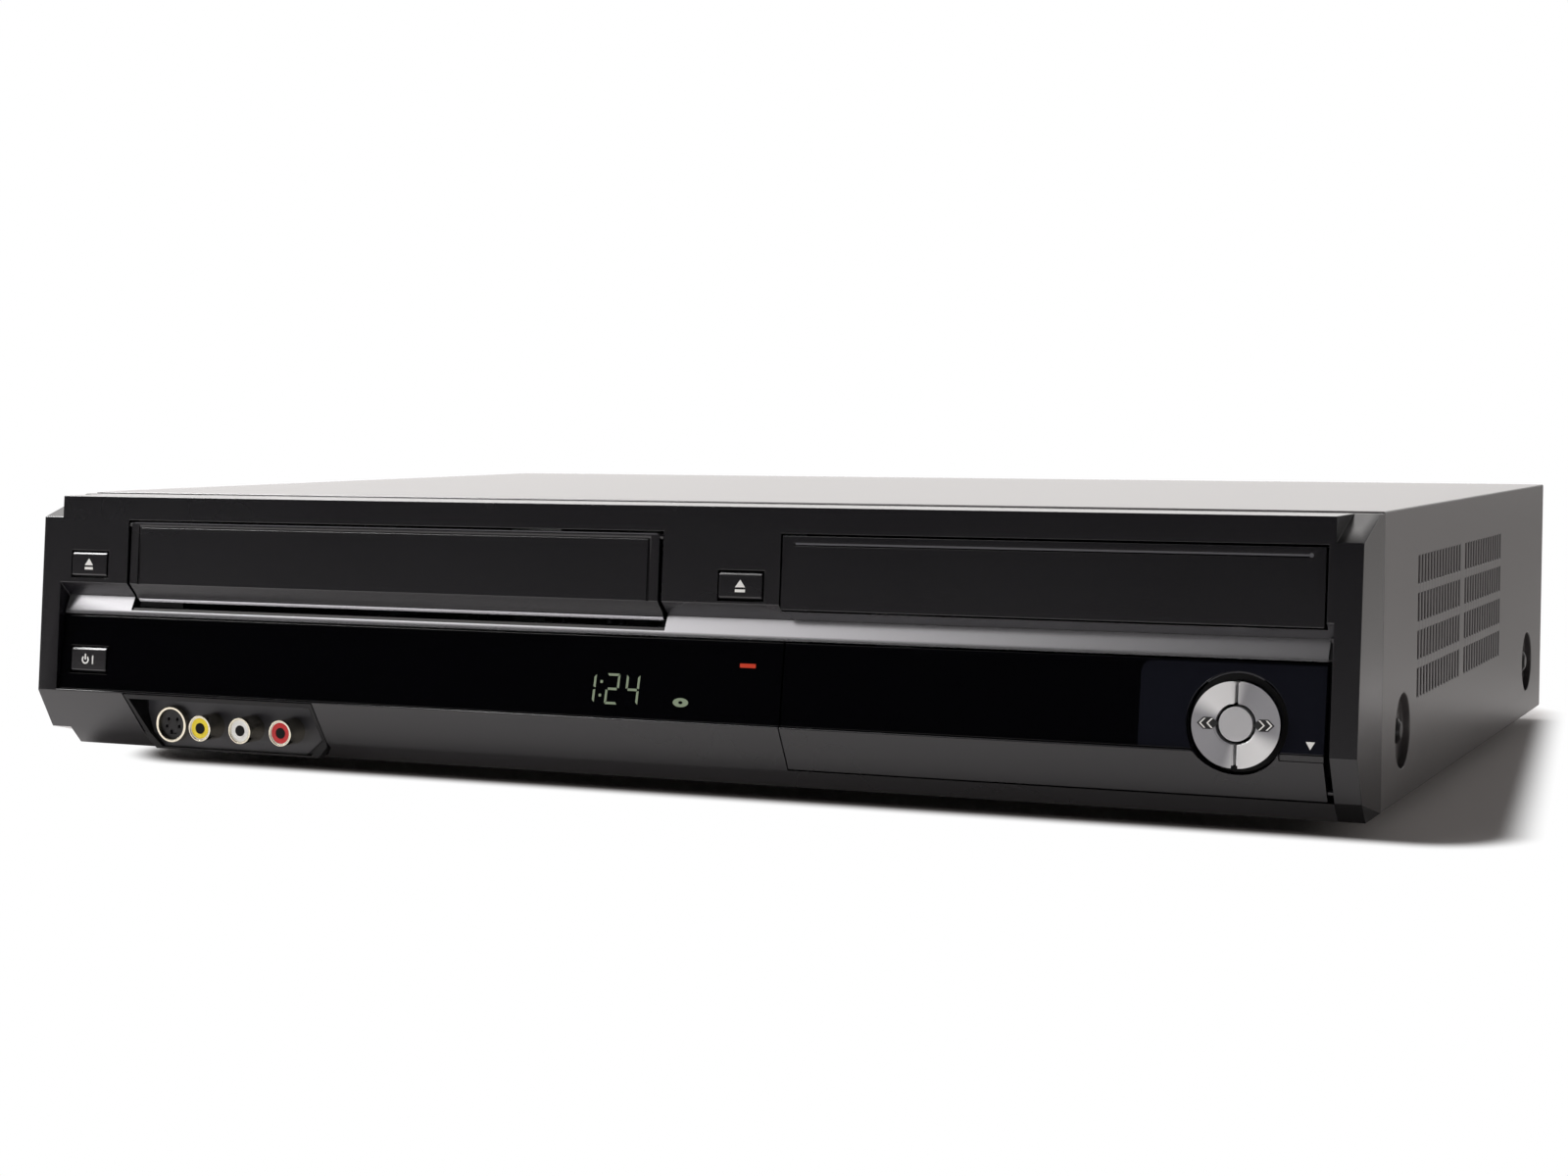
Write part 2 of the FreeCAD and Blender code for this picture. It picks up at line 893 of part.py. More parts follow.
def make_fascia():
    """Deep hollow front moulding."""
    through = front + s.fascia_depth - 2
    slot = block(
        "SlotCut",
        (slot_left, front - 5, slot_low),
        (slot_right, through, slot_top),
    )
    tray_gap = s.tray_door_gap
    tray_mouth = block(
        "TrayCut",
        (tray_left - tray_gap, front - 5, edge + s.tray_door_low - tray_gap),
        (tray_right + tray_gap, through, edge + s.tray_door_top + tray_gap),
    )
    door_mouth = block(
        "DoorCut",
        (panel_split, front - 5, edge - s.slope_drop),
        (seam, front + s.slope_run + s.band_run + 4, edge + s.panel_top + s.panel_gap),
    )
    depth, height = door_axis()
    swing = s.door_barrel + s.door_swing_gap
    door_swing = rod("DoorSwing", (panel_split, depth, height), "x", swing, seam - panel_split)
    display = block(
        "DisplayCut",
        (panel_split - s.tube_length - 4, front - 5, edge + 2),
        (panel_split - 4, through, edge + s.panel_top - 3),
    )
    openings = [slot, tray_mouth, door_mouth, door_swing, display]
    openings.append(key_hole("EjectHole", eject_side, s.eject_rise, s.key_gap))
    openings.append(key_hole("OpenHole", open_side, s.open_rise, s.key_gap))
    openings.append(key_hole("PowerHole", power_side, s.power_rise, s.key_gap))
    openings.append(bay_cut("BaySeat", s.bay_wall + s.sheet_gap))
    shell = cut("FasciaShell", fascia_shell(), *fascia_hollow())
    body = cut("FasciaCut", shell, *groove_cut(), *openings)
    blank = fuse("FasciaBlank", body, *flap_ears(), *door_ears())
    bores = [pin_bore("Flap", flap_axis(), slot_left, slot_right)]
    bores.append(pin_bore("Door", door_axis(), panel_split, seam))
    return keep("front_fascia", cut("FrontFascia", blank, *bores))


def flap_axis():
    """Y and Z of the cassette flap's hinge, close under the slot's top edge."""
    rise = s.slot_top - s.flap_pin_radius - s.flap_top_gap
    return face(rise, s.flap_pin_radius + 0.2), edge + rise


def door_axis():
    """Y and Z of the drop-down door's hinge, inside the foot of the slope."""
    return slope_depth(s.door_hinge_rise) + s.door_hinge_inset, edge - s.slope_drop + s.door_hinge_rise


def slope_depth(rise):
    """Y of the slope, rise above its lower edge."""
    return front + s.slope_run * (s.slope_drop - rise) / s.slope_drop


def around(axis, radius, angles):
    """Corners on a circle about an axis that runs along X, angles in degrees from +Y."""
    depth, height = axis
    turns = [math.radians(angle) for angle in angles]
    return [(depth + radius * math.cos(a), height + radius * math.sin(a)) for a in turns]


def pin_bore(name, axis, low, high):
    """Bearing holes beyond both ends of a hinged piece."""
    depth, height = axis
    start = low - s.hinge_pin_length - 0.5
    length = high - low + (s.hinge_pin_length + 0.5) * 2
    return rod(name + "Bore", (start, depth, height), "x", s.flap_pin_radius + s.pin_play, length)


def ear_pair(name, axis, low, high, near, far):
    """Bearing blocks at both ends of a hinged piece."""
    depth, height = axis
    size = s.flap_pin_radius + 1.2
    wide = s.hinge_pin_length
    ears = []
    for side, start in (("Left", low - wide), ("Right", high)):
        low_corner = (start, depth - near, height - size)
        ears.append(block(name + side, low_corner, (start + wide, depth + far, height + size)))
    return ears


def flap_ears():
    return ear_pair("FlapEar", flap_axis(), slot_left, slot_right, 0, s.ear_reach)


def door_ears():
    return ear_pair("DoorEar", door_axis(), panel_split, seam, 0, s.ear_reach)


def face_line(name, low, high, low_rise, high_rise):
    """Shallow groove in the leaning face."""
    deep = s.line_depth
    return profile_x(
        name,
        [
            (face(low_rise, -1), edge + low_rise),
            (face(high_rise, -1), edge + high_rise),
            (face(high_rise, deep), edge + high_rise),
            (face(low_rise, deep), edge + low_rise),
        ],
        low,
        high,
    )


def make_flap():
    """Cassette flap that follows the face and the groove, with moulded pins."""
    thick = s.flap_thickness
    head = s.slot_top - s.flap_top_gap
    deep = s.groove_depth
    lip = s.groove_middle - s.trim_lip
    plate = profile_x(
        "FlapPlate",
        [
            (face(head), edge + head),
            (face(s.groove_top), edge + s.groove_top),
            (face(s.groove_middle, deep - s.trim_thickness), edge + s.groove_middle + 0.8),
            (face(s.groove_middle, deep), edge + lip),
            (face(s.groove_middle, deep + thick), edge + lip),
            (face(s.groove_middle, deep + thick), edge + s.groove_middle + 1),
            (face(s.groove_top, thick), edge + s.groove_top + 1),
            (face(head, thick), edge + head),
        ],
        slot_left + s.flap_gap,
        slot_right - s.flap_gap,
    )
    left = slot_left + s.flap_gap + s.flap_frame
    right = slot_right - s.flap_gap - s.flap_frame
    width = s.line_width
    line_top = head - width
    lines = [
        face_line("FlapLineLeft", left, left + width, s.groove_top, line_top),
        face_line("FlapLineRight", right - width, right, s.groove_top, line_top),
        face_line("FlapLineTop", left, right, line_top - width, line_top),
    ]
    depth, height = flap_axis()
    start = slot_left - s.hinge_pin_length
    length = slot_right - slot_left + s.hinge_pin_length * 2
    pins = rod("FlapPins", (start, depth, height), "x", s.flap_pin_radius, length)
    return keep("cassette_flap", fuse("CassetteFlap", cut("FlapBlank", plate, *lines), pins))


def make_trim():
    """Silver strip on the lower side of the groove, notched under the flap."""
    seat = s.trim_thickness - s.trim_play
    upper = s.groove_middle - s.trim_play
    lower = s.groove_bottom
    deep = s.groove_depth - s.trim_play
    bar = profile_x(
        "TrimBar",
        [
            (face(upper, deep), edge + upper),
            (sunk(lower), edge + lower),
            (sunk(lower - s.trim_thickness), edge + lower - seat),
            (face(upper, deep), edge + upper - seat + s.trim_play),
        ],
        -seam + s.panel_gap,
        seam - s.trim_end_gap,
    )
    notch_low = edge + lower + s.trim_edge
    notch = block("TrimNotch", (slot_left, front - 5, notch_low), (slot_right, front + 20, slot_top))
    return keep("silver_trim", cut("SilverTrim", bar, notch))


def panel_plate(name, low, high):
    """Gloss plate of the lower face between two X positions."""
    thick = s.panel_thickness - 0.2
    base = s.panel_bottom + 0.2
    head = s.panel_top - 0.3
    return profile_x(
        name,
        [
            (sunk(base), edge + base),
            (sunk(head), edge + head),
            (sunk(head, thick), edge + head),
            (sunk(base, thick), edge + base),
        ],
        low,
        high,
    )


def make_window():
    """Smoked display window with the power key's hole."""
    plate = panel_plate("WindowPlate", -seam + s.panel_gap, panel_split - s.panel_gap / 2)
    hole = key_hole("WindowKeyHole", power_side, s.power_rise, s.key_gap)
    return keep("display_window", cut("DisplayWindow", plate, hole))


def ring_hole(name, radius, near, far):
    start = (ring_side, near, edge + s.ring_rise)
    return rod(name, start, "y", radius, far - near)


def make_door():
    """Drop-down door: slope moulding with hinge barrel, and its gloss panel."""
    thick = s.door_thickness
    left = panel_split + s.panel_gap / 2
    right = seam - s.door_side_gap
    depth, height = door_axis()
    foot = s.door_foot_gap
    seat = s.panel_thickness
    shell = profile_x(
        "DoorShell",
        [
            (front, edge),
            (slope_depth(foot), edge - s.slope_drop + foot),
            *around((depth, height), s.door_barrel, range(-90, 80, 20)),
            (depth - thick * 0.7, height + thick * 2),
            (sunk(0, seat + thick), edge - 1),
            (sunk(s.panel_top, seat + thick), edge + s.panel_top - 0.3),
            (sunk(s.panel_top, seat), edge + s.panel_top - 0.3),
            (sunk(s.panel_bottom, seat), edge + s.panel_bottom),
            (face(s.panel_bottom), edge + s.panel_bottom),
        ],
        left,
        right,
    )
    start = panel_split - s.hinge_pin_length
    length = seam - panel_split + s.hinge_pin_length * 2
    pins = rod("DoorPins", (start, depth, height), "x", s.flap_pin_radius, length)
    hole = ring_hole("DoorHole", s.ring_hole_radius, front - 5, front + s.fascia_depth / 2)
    pull = block(
        "PullNotch",
        (right - s.pull_width, front - 1, edge - s.pull_height),
        (right + 1, front + s.pull_depth, edge + s.panel_bottom),
    )
    keep("control_door", cut("ControlDoor", fuse("DoorBody", shell, pins), hole, pull))
    skin = panel_plate("DoorSkin", left, right)
    skin_hole = ring_hole("DoorSkinHole", s.ring_hole_radius, front - 5, front + 10)
    keep("door_panel", cut("DoorPanel", skin, skin_hole))


def make_tray_front():
    """Flush front of the disc tray."""
    low = s.tray_door_low
    high = s.tray_door_top
    thick = s.tray_door_thickness
    plate = profile_x(
        "TrayDoor",
        [
            (face(low), edge + low),
            (face(high), edge + high),
            (face(high, thick), edge + high),
            (face(low, thick), edge + low),
        ],
        tray_left,
        tray_right,
    )
    inset = s.tray_line_inset
    line_top = high - s.tray_line_drop
    line = face_line("TrayLine", tray_left + inset, tray_right - inset, line_top - s.line_width, line_top)
    return keep("tray_front", cut("TrayFront", plate, line))


# Keys and ring


def make_key(node, side, rise, setback):
    """Rectangular key with a raked front and a stem behind."""
    wide = s.key_width / 2
    tall = s.key_height / 2
    near = setback - s.key_proud
    bevel = s.key_bevel
    cap = profile_x(
        node + "Cap",
        [
            (face(rise - tall, near + bevel), edge + rise - tall),
            (face(rise - tall + bevel, near), edge + rise - tall + bevel),
            (face(rise + tall - bevel, near), edge + rise + tall - bevel),
            (face(rise + tall, near + bevel), edge + rise + tall),
            (face(rise + tall, s.key_depth), edge + rise + tall),
            (face(rise - tall, s.key_depth), edge + rise - tall),
        ],
        side - wide,
        side + wide,
    )
    return keep(node, cap)


def make_keys():
    make_key("eject_key", eject_side, s.eject_rise, 0)
    make_key("open_close_key", open_side, s.open_rise, 0)
    make_key("power_key", power_side, s.power_rise, sunk(s.power_rise) - face(s.power_rise))


def ring_slab(name, low, high, depth):
    """Raked slab that gives the ring pieces their front."""
    radius = s.ring_radius
    return profile_x(
        name,
        [
            (face(s.ring_rise - radius, s.ring_sunk), edge + s.ring_rise - radius - 1),
            (face(s.ring_rise + radius, s.ring_sunk), edge + s.ring_rise + radius + 1),
            (front + depth, edge + s.ring_rise + radius + 1),
            (front + depth, edge + s.ring_rise - radius - 1),
        ],
        low,
        high,
    )


def make_ring():
    """Round control: two half-ring keys about a fixed lamp cap."""
    far = front + s.control_plane
    inner = s.ring_cap_radius + s.ring_cap_gap
    half_split = s.ring_split / 2
    spans = {
        "ring_key_left": (ring_side - s.ring_radius - 1, ring_side - half_split),
        "ring_key_right": (ring_side + half_split, ring_side + s.ring_radius + 1),
    }
    for node, (low, high) in spans.items():
        disc = ring_hole(node + "Disc", s.ring_radius, front - 5, far)
        eye = ring_hole(node + "Eye", inner, front - 6, far + 1)
        slab = ring_slab(node + "Slab", low, high, s.control_plane - s.key_travel - 0.3)
        keep(node, common(node + "Half", cut(node + "Ring", disc, eye), slab))
    post = ring_hole("RingPost", s.ring_cap_radius, front - 5, far)
    slab = ring_slab(
        "RingPostSlab",
        ring_side - s.ring_radius,
        ring_side + s.ring_radius,
        s.control_plane,
    )
    keep("ring_cap", common("RingCap", post, slab))


def small_key_spots():
    count = int(s.small_keys.value)
    return [(number, small_key_first + s.small_key_pitch * number) for number in range(count)]


def make_control_panel():
    """Plate behind the door with the small keys and the collar of the ring."""
    near = front + s.control_plane
    plate = block(
        "ControlPlate",
        (panel_split - 2, near, edge - s.control_drop),
        (half - s.fascia_wall - 0.2, near + s.control_thickness, edge + s.panel_top - 1),
    )
    collar_near = s.panel_recess_high + s.panel_thickness
    collar_start = (ring_side, front + collar_near, edge + s.ring_rise)
    collar_length = s.control_plane - collar_near + 0.5
    collar_outer = s.ring_hole_radius - s.key_gap
    collar = tube("Collar", collar_start, "y", collar_outer, s.ring_radius + s.key_gap, collar_length)
    holes = []
    for number, side in small_key_spots():
        start = (side, near - 1, edge + s.small_key_rise)
        radius = s.small_key_radius + s.sheet_gap
        holes.append(rod("SmallHole%d" % number, start, "y", radius, s.control_thickness + 2))
    keep("control_panel", fuse("ControlPanel", cut("ControlCut", plate, *holes), collar))
    for number, side in small_key_spots():
        start = (side, near - s.key_travel, edge + s.small_key_rise)
        length = s.control_thickness + s.key_travel * 2 + 0.3
        cap = rod("SmallCap%d" % number, start, "y", s.small_key_radius, length)
        flange_start = (side, near + s.control_thickness + 0.3, edge + s.small_key_rise)
        flange = rod("SmallFlange%d" % number, flange_start, "y", s.small_key_radius + 1, s.key_travel)
        keep("small_key_%d" % (number + 1), fuse("SmallKey%d" % number, cap, flange))


# Front sockets


def jack_side(number):
    return jack_first + s.jack_pitch * number


def make_jack_bay():
    """Bowl in the slope that carries the front sockets."""
    wall = s.bay_wall
    outer = bay_cut("BayOuter", wall)
    form = common("BayForm", outer, bay_form())
    pocket = bay_cut("BayPocket", 0)
    holes = []
    level = edge - s.jack_rise
    start_y = front + s.bay_depth - 1
    for number in range(3):
        start = (jack_side(number), start_y, level)
        radius = s.jack_shell_radius + s.jack_collar_step + s.pin_play
        holes.append(rod("BayHole%d" % number, start, "y", radius, wall + 2))
    start = (jack_side(-1), start_y, level)
    holes.append(rod("BayDinHole", start, "y", s.din_radius + s.pin_play, wall + 2))
    return keep("jack_bay", cut("JackBay", form, pocket, *holes))


def bay_form():
    """Side profile of the bay, level with the slope."""
    inset = s.sheet_gap
    return profile_x(
        "BayProfile",
        [
            (front + inset, edge - inset),
            (front + s.slope_run + inset, edge - s.slope_drop),
            (front + s.slope_run + s.bay_rim_run, bottom + 0.1),
            (front + s.fascia_depth / 2, bottom + 0.1),
            (front + s.fascia_depth / 2, edge + 2),
            (front + inset, edge + 2),
        ],
        bay_left - 5,
        bay_right + 5,
    )


def phono_shell(name, start, collar_start, length, collar_length):
    """Nickel shell of a phono socket, thicker where it passes through its wall."""
    inner = s.jack_shell_radius - s.jack_shell_wall
    shell = tube(name, start, "y", s.jack_shell_radius, inner, length)
    outer = s.jack_shell_radius + s.jack_collar_step
    collar = tube(name + "Collar", collar_start, "y", outer, inner, collar_length)
    return fuse(name + "Stepped", shell, collar)


def make_jacks():
    """Three phono jacks and a round four-pin video socket."""
    level = edge - s.jack_rise
    near = front + s.bay_depth - s.jack_length
    far = s.jack_length + s.bay_wall
    shells = []
    for number, node in enumerate(("video_jack", "audio_jack_left", "audio_jack_right")):
        start = (jack_side(number), near, level)
        inner = s.jack_shell_radius - s.jack_shell_wall
        collar_start = (jack_side(number), front + s.bay_depth, level)
        shells.append(phono_shell("JackShell%d" % number, start, collar_start, far, s.bay_wall))
        core_start = (jack_side(number), near + 0.4, level)
        core = tube("JackCore%d" % number, core_start, "y", inner, s.jack_bore_radius, far - 0.4)
        keep(node, core)
    din_near = front + s.bay_depth - 2.4
    start = (jack_side(-1), din_near, level)
    shells.append(tube("DinRing", start, "y", s.din_radius, s.din_radius - 0.9, s.bay_wall + 2.4))
    keep("jack_shells", group("JackShells", *shells))
    core = rod("DinBlock", (jack_side(-1), din_near + 1.2, level), "y", s.din_radius - 0.9, s.bay_wall + 1.5)
    pins = []
    for across, up in ((-1.7, 1.6), (1.7, 1.6), (-2.4, -0.7), (2.4, -0.7)):
        spot = (jack_side(-1) + across, din_near, level + up)
        pins.append(rod("DinPin%d%d" % (across * 10 + 50, up * 10 + 50), spot, "y", 0.5, 5))
    key_low = (jack_side(-1) - 1.2, din_near, level - 3.2)
    key_high = (jack_side(-1) + 1.2, din_near + 5, level - 2.0)
    pins.append(block("DinKey", key_low, key_high))
    core = cut("DinCore", core, *pins)
    block_low = (jack_side(-1) - 8, front + s.bay_depth + s.bay_wall + 0.2, bottom + s.fascia_wall + 5)
    block_high = (jack_side(2) + 7, front + s.bay_depth + s.bay_wall + 12, edge - 1.5)
    keep("jack_block", fuse("JackBlock", block("JackBlockBody", block_low, block_high), core))


# Disc drive


def make_drive_case():
    """Open drive tub with side runners for the tray and a hole for the traverse."""
    wall = s.drive_wall
    side = s.drive_width / 2
    near = front + s.drive_front
    far = near + s.drive_length
    left = tray_middle - side
    right = tray_middle + side
    outer = block("DriveOuter", (left, near, s.drive_floor), (right, far, s.drive_top))
    inner = block(
        "DriveInner",
        (left + wall, near - 1, s.drive_floor + wall),
        (right - wall, far - wall, s.drive_top + 1),
    )
    inset = s.post_radius * 2 + 2
    well_half = s.traverse_width / 2 - inset
    well_low = (tray_middle - well_half, near + s.drive_well_front, s.drive_floor - 1)
    well_high = (tray_middle + well_half, far - s.drive_well_back, s.drive_floor + wall + 1)
    tub = cut("DriveTub", outer, inner, block("DriveWell", well_low, well_high))
    runners = traverse_posts()
    for number, sign in enumerate((-1, 1)):
        inside = side - wall + s.seat_overlap
        outside = side - wall - s.runner_width
        low_x, high_x = (tray_middle + inside * sign, tray_middle + outside * sign)
        if sign > 0:
            low_x, high_x = high_x, low_x
        near_end = near + s.runner_end
        far_end = far - s.runner_end
        top = s.tray_level - s.runner_gap
        runner_low = (low_x, near_end, top - s.runner_height)
        runners.append(block("Runner%d" % number, runner_low, (high_x, far_end, top)))
        low = s.tray_level + s.tray_plate + s.keeper_gap
        keeper_high = (high_x, far_end, low + s.runner_height / 2)
        runners.append(block("Keeper%d" % number, (low_x, near_end, low), keeper_high))
    keep("drive_case", fuse("DriveCase", tub, *runners, *drive_feet(0)))
    lid = block(
        "DriveLidPlate",
        (left, near, s.drive_top + s.drive_lid_gap),
        (right, far, s.drive_top + s.drive_lid_gap + s.sheet),
    )
    window = rod(
        "DriveLidHole",
        (tray_middle, front + s.disc_back, s.drive_top - 1),
        "z",
        s.clamp_neck + s.sheet_gap,
        4,
    )
    keep("drive_lid", cut("DriveLid", lid, window))


def traverse_posts():
    """Four posts of the drive case on which the traverse unit rests."""
    posts = []
    reach = s.traverse_width / 2 - s.post_radius - 1.5
    low = s.drive_floor + s.drive_wall - 0.1
    high = s.tray_level - s.traverse_gap - s.traverse_height
    middle = front + s.disc_back
    for number, (sign, depth) in enumerate(((-1, -18), (1, -18), (-1, 68), (1, 68))):
        spot = (tray_middle + reach * sign, middle + depth, low)
        posts.append(rod("TraversePost%d" % number, spot, "z", s.post_radius, high - low - 0.1))
    return posts


def drive_feet(grow):
    """Three legs under the drive, or with grow their clearance in the board."""
    near = front + s.drive_front
    side = s.drive_width / 2 - 6
    spots = ((-side, near + 46), (side, near + 46), (size_of(0), near + s.drive_length - 8))
    feet = []
    for number, (across, depth) in enumerate(spots):
        reach = s.drive_foot / 2 + grow
        middle = tray_middle + across
        low = (middle - reach, depth - reach, s.chassis_top - grow)
        high = (middle + reach, depth + reach, s.drive_floor + 0.2)
        feet.append(block("DriveFoot%d%d" % (number, grow), low, high))
    return feet


def make_tray():
    """Sliding tray with two disc recesses, a spindle slot and a rack underneath."""
    half_wide = s.tray_width / 2
    near = front + s.tray_front_gap + s.tray_door_thickness + s.face_lean
    far = near + s.tray_length
    level = s.tray_level
    upper = level + s.tray_plate
    wing = s.drive_width / 2 - s.drive_wall - s.sheet_gap
    plate = block("TrayPlate", (tray_middle - half_wide, near, level), (tray_middle + half_wide, far, upper))
    wings = block("TrayWings", (tray_middle - wing, near + 24, level), (tray_middle + wing, far, upper))
    centre = (tray_middle, front + s.disc_back, level + s.tray_floor + 1.4)
    large = rod("DiscRecess", centre, "z", s.disc_radius, s.tray_plate)
    centre = (tray_middle, front + s.disc_back, level + s.tray_floor)
    small = rod("SmallRecess", centre, "z", s.small_disc_radius, s.tray_plate)
    slot_half = s.tray_slot_width / 2
    eye = rod("TrayEye", (tray_middle, front + s.disc_back, level - 1), "z", slot_half, s.tray_plate + 2)
    slot = block(
        "TraySlot",
        (tray_middle - slot_half, front + s.disc_back, level - 1),
        (tray_middle + slot_half, far + 1, upper + 1),
    )
    body = cut("TrayBody", fuse("TrayBlank", plate, wings), large, small, eye, slot)
    arm = block(
        "TrayFrontArm",
        (tray_middle - half_wide + 6, front + s.tray_door_thickness + s.face_lean, level),
        (tray_middle + half_wide - 6, near + 2, upper - 1),
    )
    return keep("disc_tray", fuse("DiscTray", body, arm, tray_rack()))


def rack_start():
    return front + s.disc_back - s.rack_lead


def tray_rack():
    """Row of straight-sided teeth along the tray's left underside, facing +X."""
    pitch = s.gear_module * math.pi
    count = int(s.rack_teeth.value)
    root = tray_middle + s.rack_side
    depth = s.gear_module * 2.1
    tip_half = pitch * 0.11
    foot_half = pitch * 0.34
    corners = [(root - 3, rack_start() - pitch / 2), (root - 3, rack_start() + pitch * (count - 0.5))]
    corners.append((root, rack_start() + pitch * (count - 0.5)))
    for number in reversed(range(count)):
        middle = rack_start() + pitch * number
        corners.append((root, middle + foot_half))
        corners.append((root + depth, middle + tip_half))
        corners.append((root + depth, middle - tip_half))
        corners.append((root, middle - foot_half))
    corners.append((root, rack_start() - pitch / 2))
    wire = Part.makePolygon([Vector(size_of(x).value, size_of(y).value, 0) for x, y in corners + corners[:1]])
    height = s.gear_width.value
    rack = doc.addObject("Part::Feature", "TrayRack")
    rack.Shape = Part.Face(wire).extrude(Vector(0, 0, height))
    return place(rack, 0, 0, s.tray_level - s.gear_width)


def make_gear(node, side, depth, low):
    """Spur gear with straight-sided teeth, a tooth pointing along -X."""
    count = int(s.gear_teeth.value)
    module = s.gear_module.value
    pitch_radius = module * count / 2
    root = pitch_radius - module * 1.25
    tip = pitch_radius + module * 0.85
    step = math.pi / count
    corners = []
    for number in range(count):
        middle = math.pi + 2 * step * number + step
        for radius, share in ((root, -0.56), (tip, -0.2), (tip, 0.2), (root, 0.56)):
            angle = middle + share * step
            corners.append(Vector(radius * math.cos(angle), radius * math.sin(angle), 0))
    corners.append(corners[0])
    solid = Part.Face(Part.makePolygon(corners)).extrude(Vector(0, 0, s.gear_width.value))
    bore = Part.makeCylinder(s.gear_bore.value + s.running_play.value, s.gear_width.value)
    gear = doc.addObject("Part::Feature", "Gear" + node)
    gear.Shape = solid.cut(bore)
    place(gear, side, depth, low)
    return keep(node, gear)


def make_drive_train():
    """Pinion that drives the tray's rack, its pin, and the motor beside it."""
    mesh = s.gear_module * s.gear_teeth / 2 + s.gear_module * 1.15
    side = tray_middle + s.rack_side + mesh
    depth = rack_start() + s.gear_module * math.pi * 2
    low = s.tray_level - s.gear_width - s.sheet_gap
    make_gear("tray_gear", side, depth, low)
    floor = s.drive_floor + s.drive_wall + 0.1
    can = rod("TrayMotorCan", (side, depth, floor), "z", s.tray_motor_radius, low - floor - 0.6)
    shaft = rod("TrayMotorShaft", (side, depth, floor), "z", s.gear_bore, s.tray_level - s.sheet_gap - floor)
    keep("tray_motor", fuse("TrayMotor", can, shaft))


def make_traverse():
    """Plate, rods, spindle motor, turntable and laser sled under the tray."""
    centre = front + s.disc_back
    top_level = s.tray_level - s.traverse_gap
    half_wide = s.traverse_width / 2 - 1
    near = centre - 22
    far = centre + s.traverse_reach
    low = top_level - s.traverse_height
    plate_high = (tray_middle + half_wide, far, low + s.traverse_plate)
    plate = block("TraversePlate", (tray_middle - half_wide, near, low), plate_high)
    slot_half = s.traverse_slot / 2
    slot_high = (tray_middle + slot_half, far - 6, low + 3)
    gap = block("TraverseGap", (tray_middle - slot_half, centre + 14, low - 1), slot_high)
    rods = s.rod_spacing / 2
    posts = []
    for number, sign in enumerate((-1, 1)):
        for end, spot in enumerate((centre + 10, far - 4)):
            corner = (tray_middle + rods * sign - 3, spot, low + 1)
            posts.append(block("RodPost%d%d" % (number, end), corner, (corner[0] + 6, spot + 3, low + 6)))
    plate = fuse("TraverseBody", cut("TraverseCut", plate, gap), *posts)
    bars = []
    for number, sign in enumerate((-1, 1)):
        start = (tray_middle + rods * sign, centre + 13, low + 4)
        bars.append(rod("SledRod%d" % number, start, "y", s.rod_radius, far - 4 - centre - 13))
    motor = rod("SpindleMotor", (tray_middle, centre, low + 1.6), "z", s.spindle_motor_radius, 3)
    keep("traverse_unit", group("TraverseUnit", plate, motor, *bars))
    table = turned(
        "Turntable",
        [
            (0, 0),
            (s.spindle_radius, 0),
            (s.spindle_radius, 0.8),
            (s.turntable_radius, 0.8),
            (s.turntable_radius, s.turntable_height),
            (s.hub_radius, s.turntable_height),
            (s.hub_radius, s.turntable_height + s.hub_height),
            (s.hub_radius - s.hub_taper, s.turntable_height + s.hub_height + s.hub_taper),
            (0, s.turntable_height + s.hub_height + s.hub_taper),
        ],
    )
    keep("turntable", place(table, tray_middle, centre, low + 4.7))
    sled_near = centre + 17
    sled_low = (tray_middle - s.sled_width / 2, sled_near, low + 2)
    sled_high = (tray_middle + s.sled_width / 2, sled_near + s.sled_length * 0.5, low + 6)
    bar = block("SledBar", sled_low, sled_high)
    lens_hole = rod("LensHole", (tray_middle, sled_near + 6, low + 4), "z", 3, 4)
    grooves = []
    for number, sign in enumerate((-1, 1)):
        start = (tray_middle + rods * sign, sled_near - 1, low + 4)
        radius = s.rod_radius + s.running_play
        grooves.append(rod("SledBore%d" % number, start, "y", radius, s.sled_length))
    keep("pickup_sled", cut("PickupSled", bar, lens_hole, *grooves))
    rim = s.clamp_thickness
    neck_top = s.clamp_height
    clamper = turned(
        "Clamper",
        [
            (0, 0),
            (s.clamp_radius, 0),
            (s.clamp_radius, rim),
            (s.clamp_neck, rim),
            (s.clamp_neck, neck_top),
            (s.clamp_neck + 3.5, neck_top),
            (s.clamp_neck + 3.5, neck_top + rim),
            (0, neck_top + rim),
        ],
    )
    rest = s.drive_top + 0.2 + s.sheet + 0.1
    keep("disc_clamper", place(clamper, tray_middle, centre, rest - neck_top))


# Tape deck


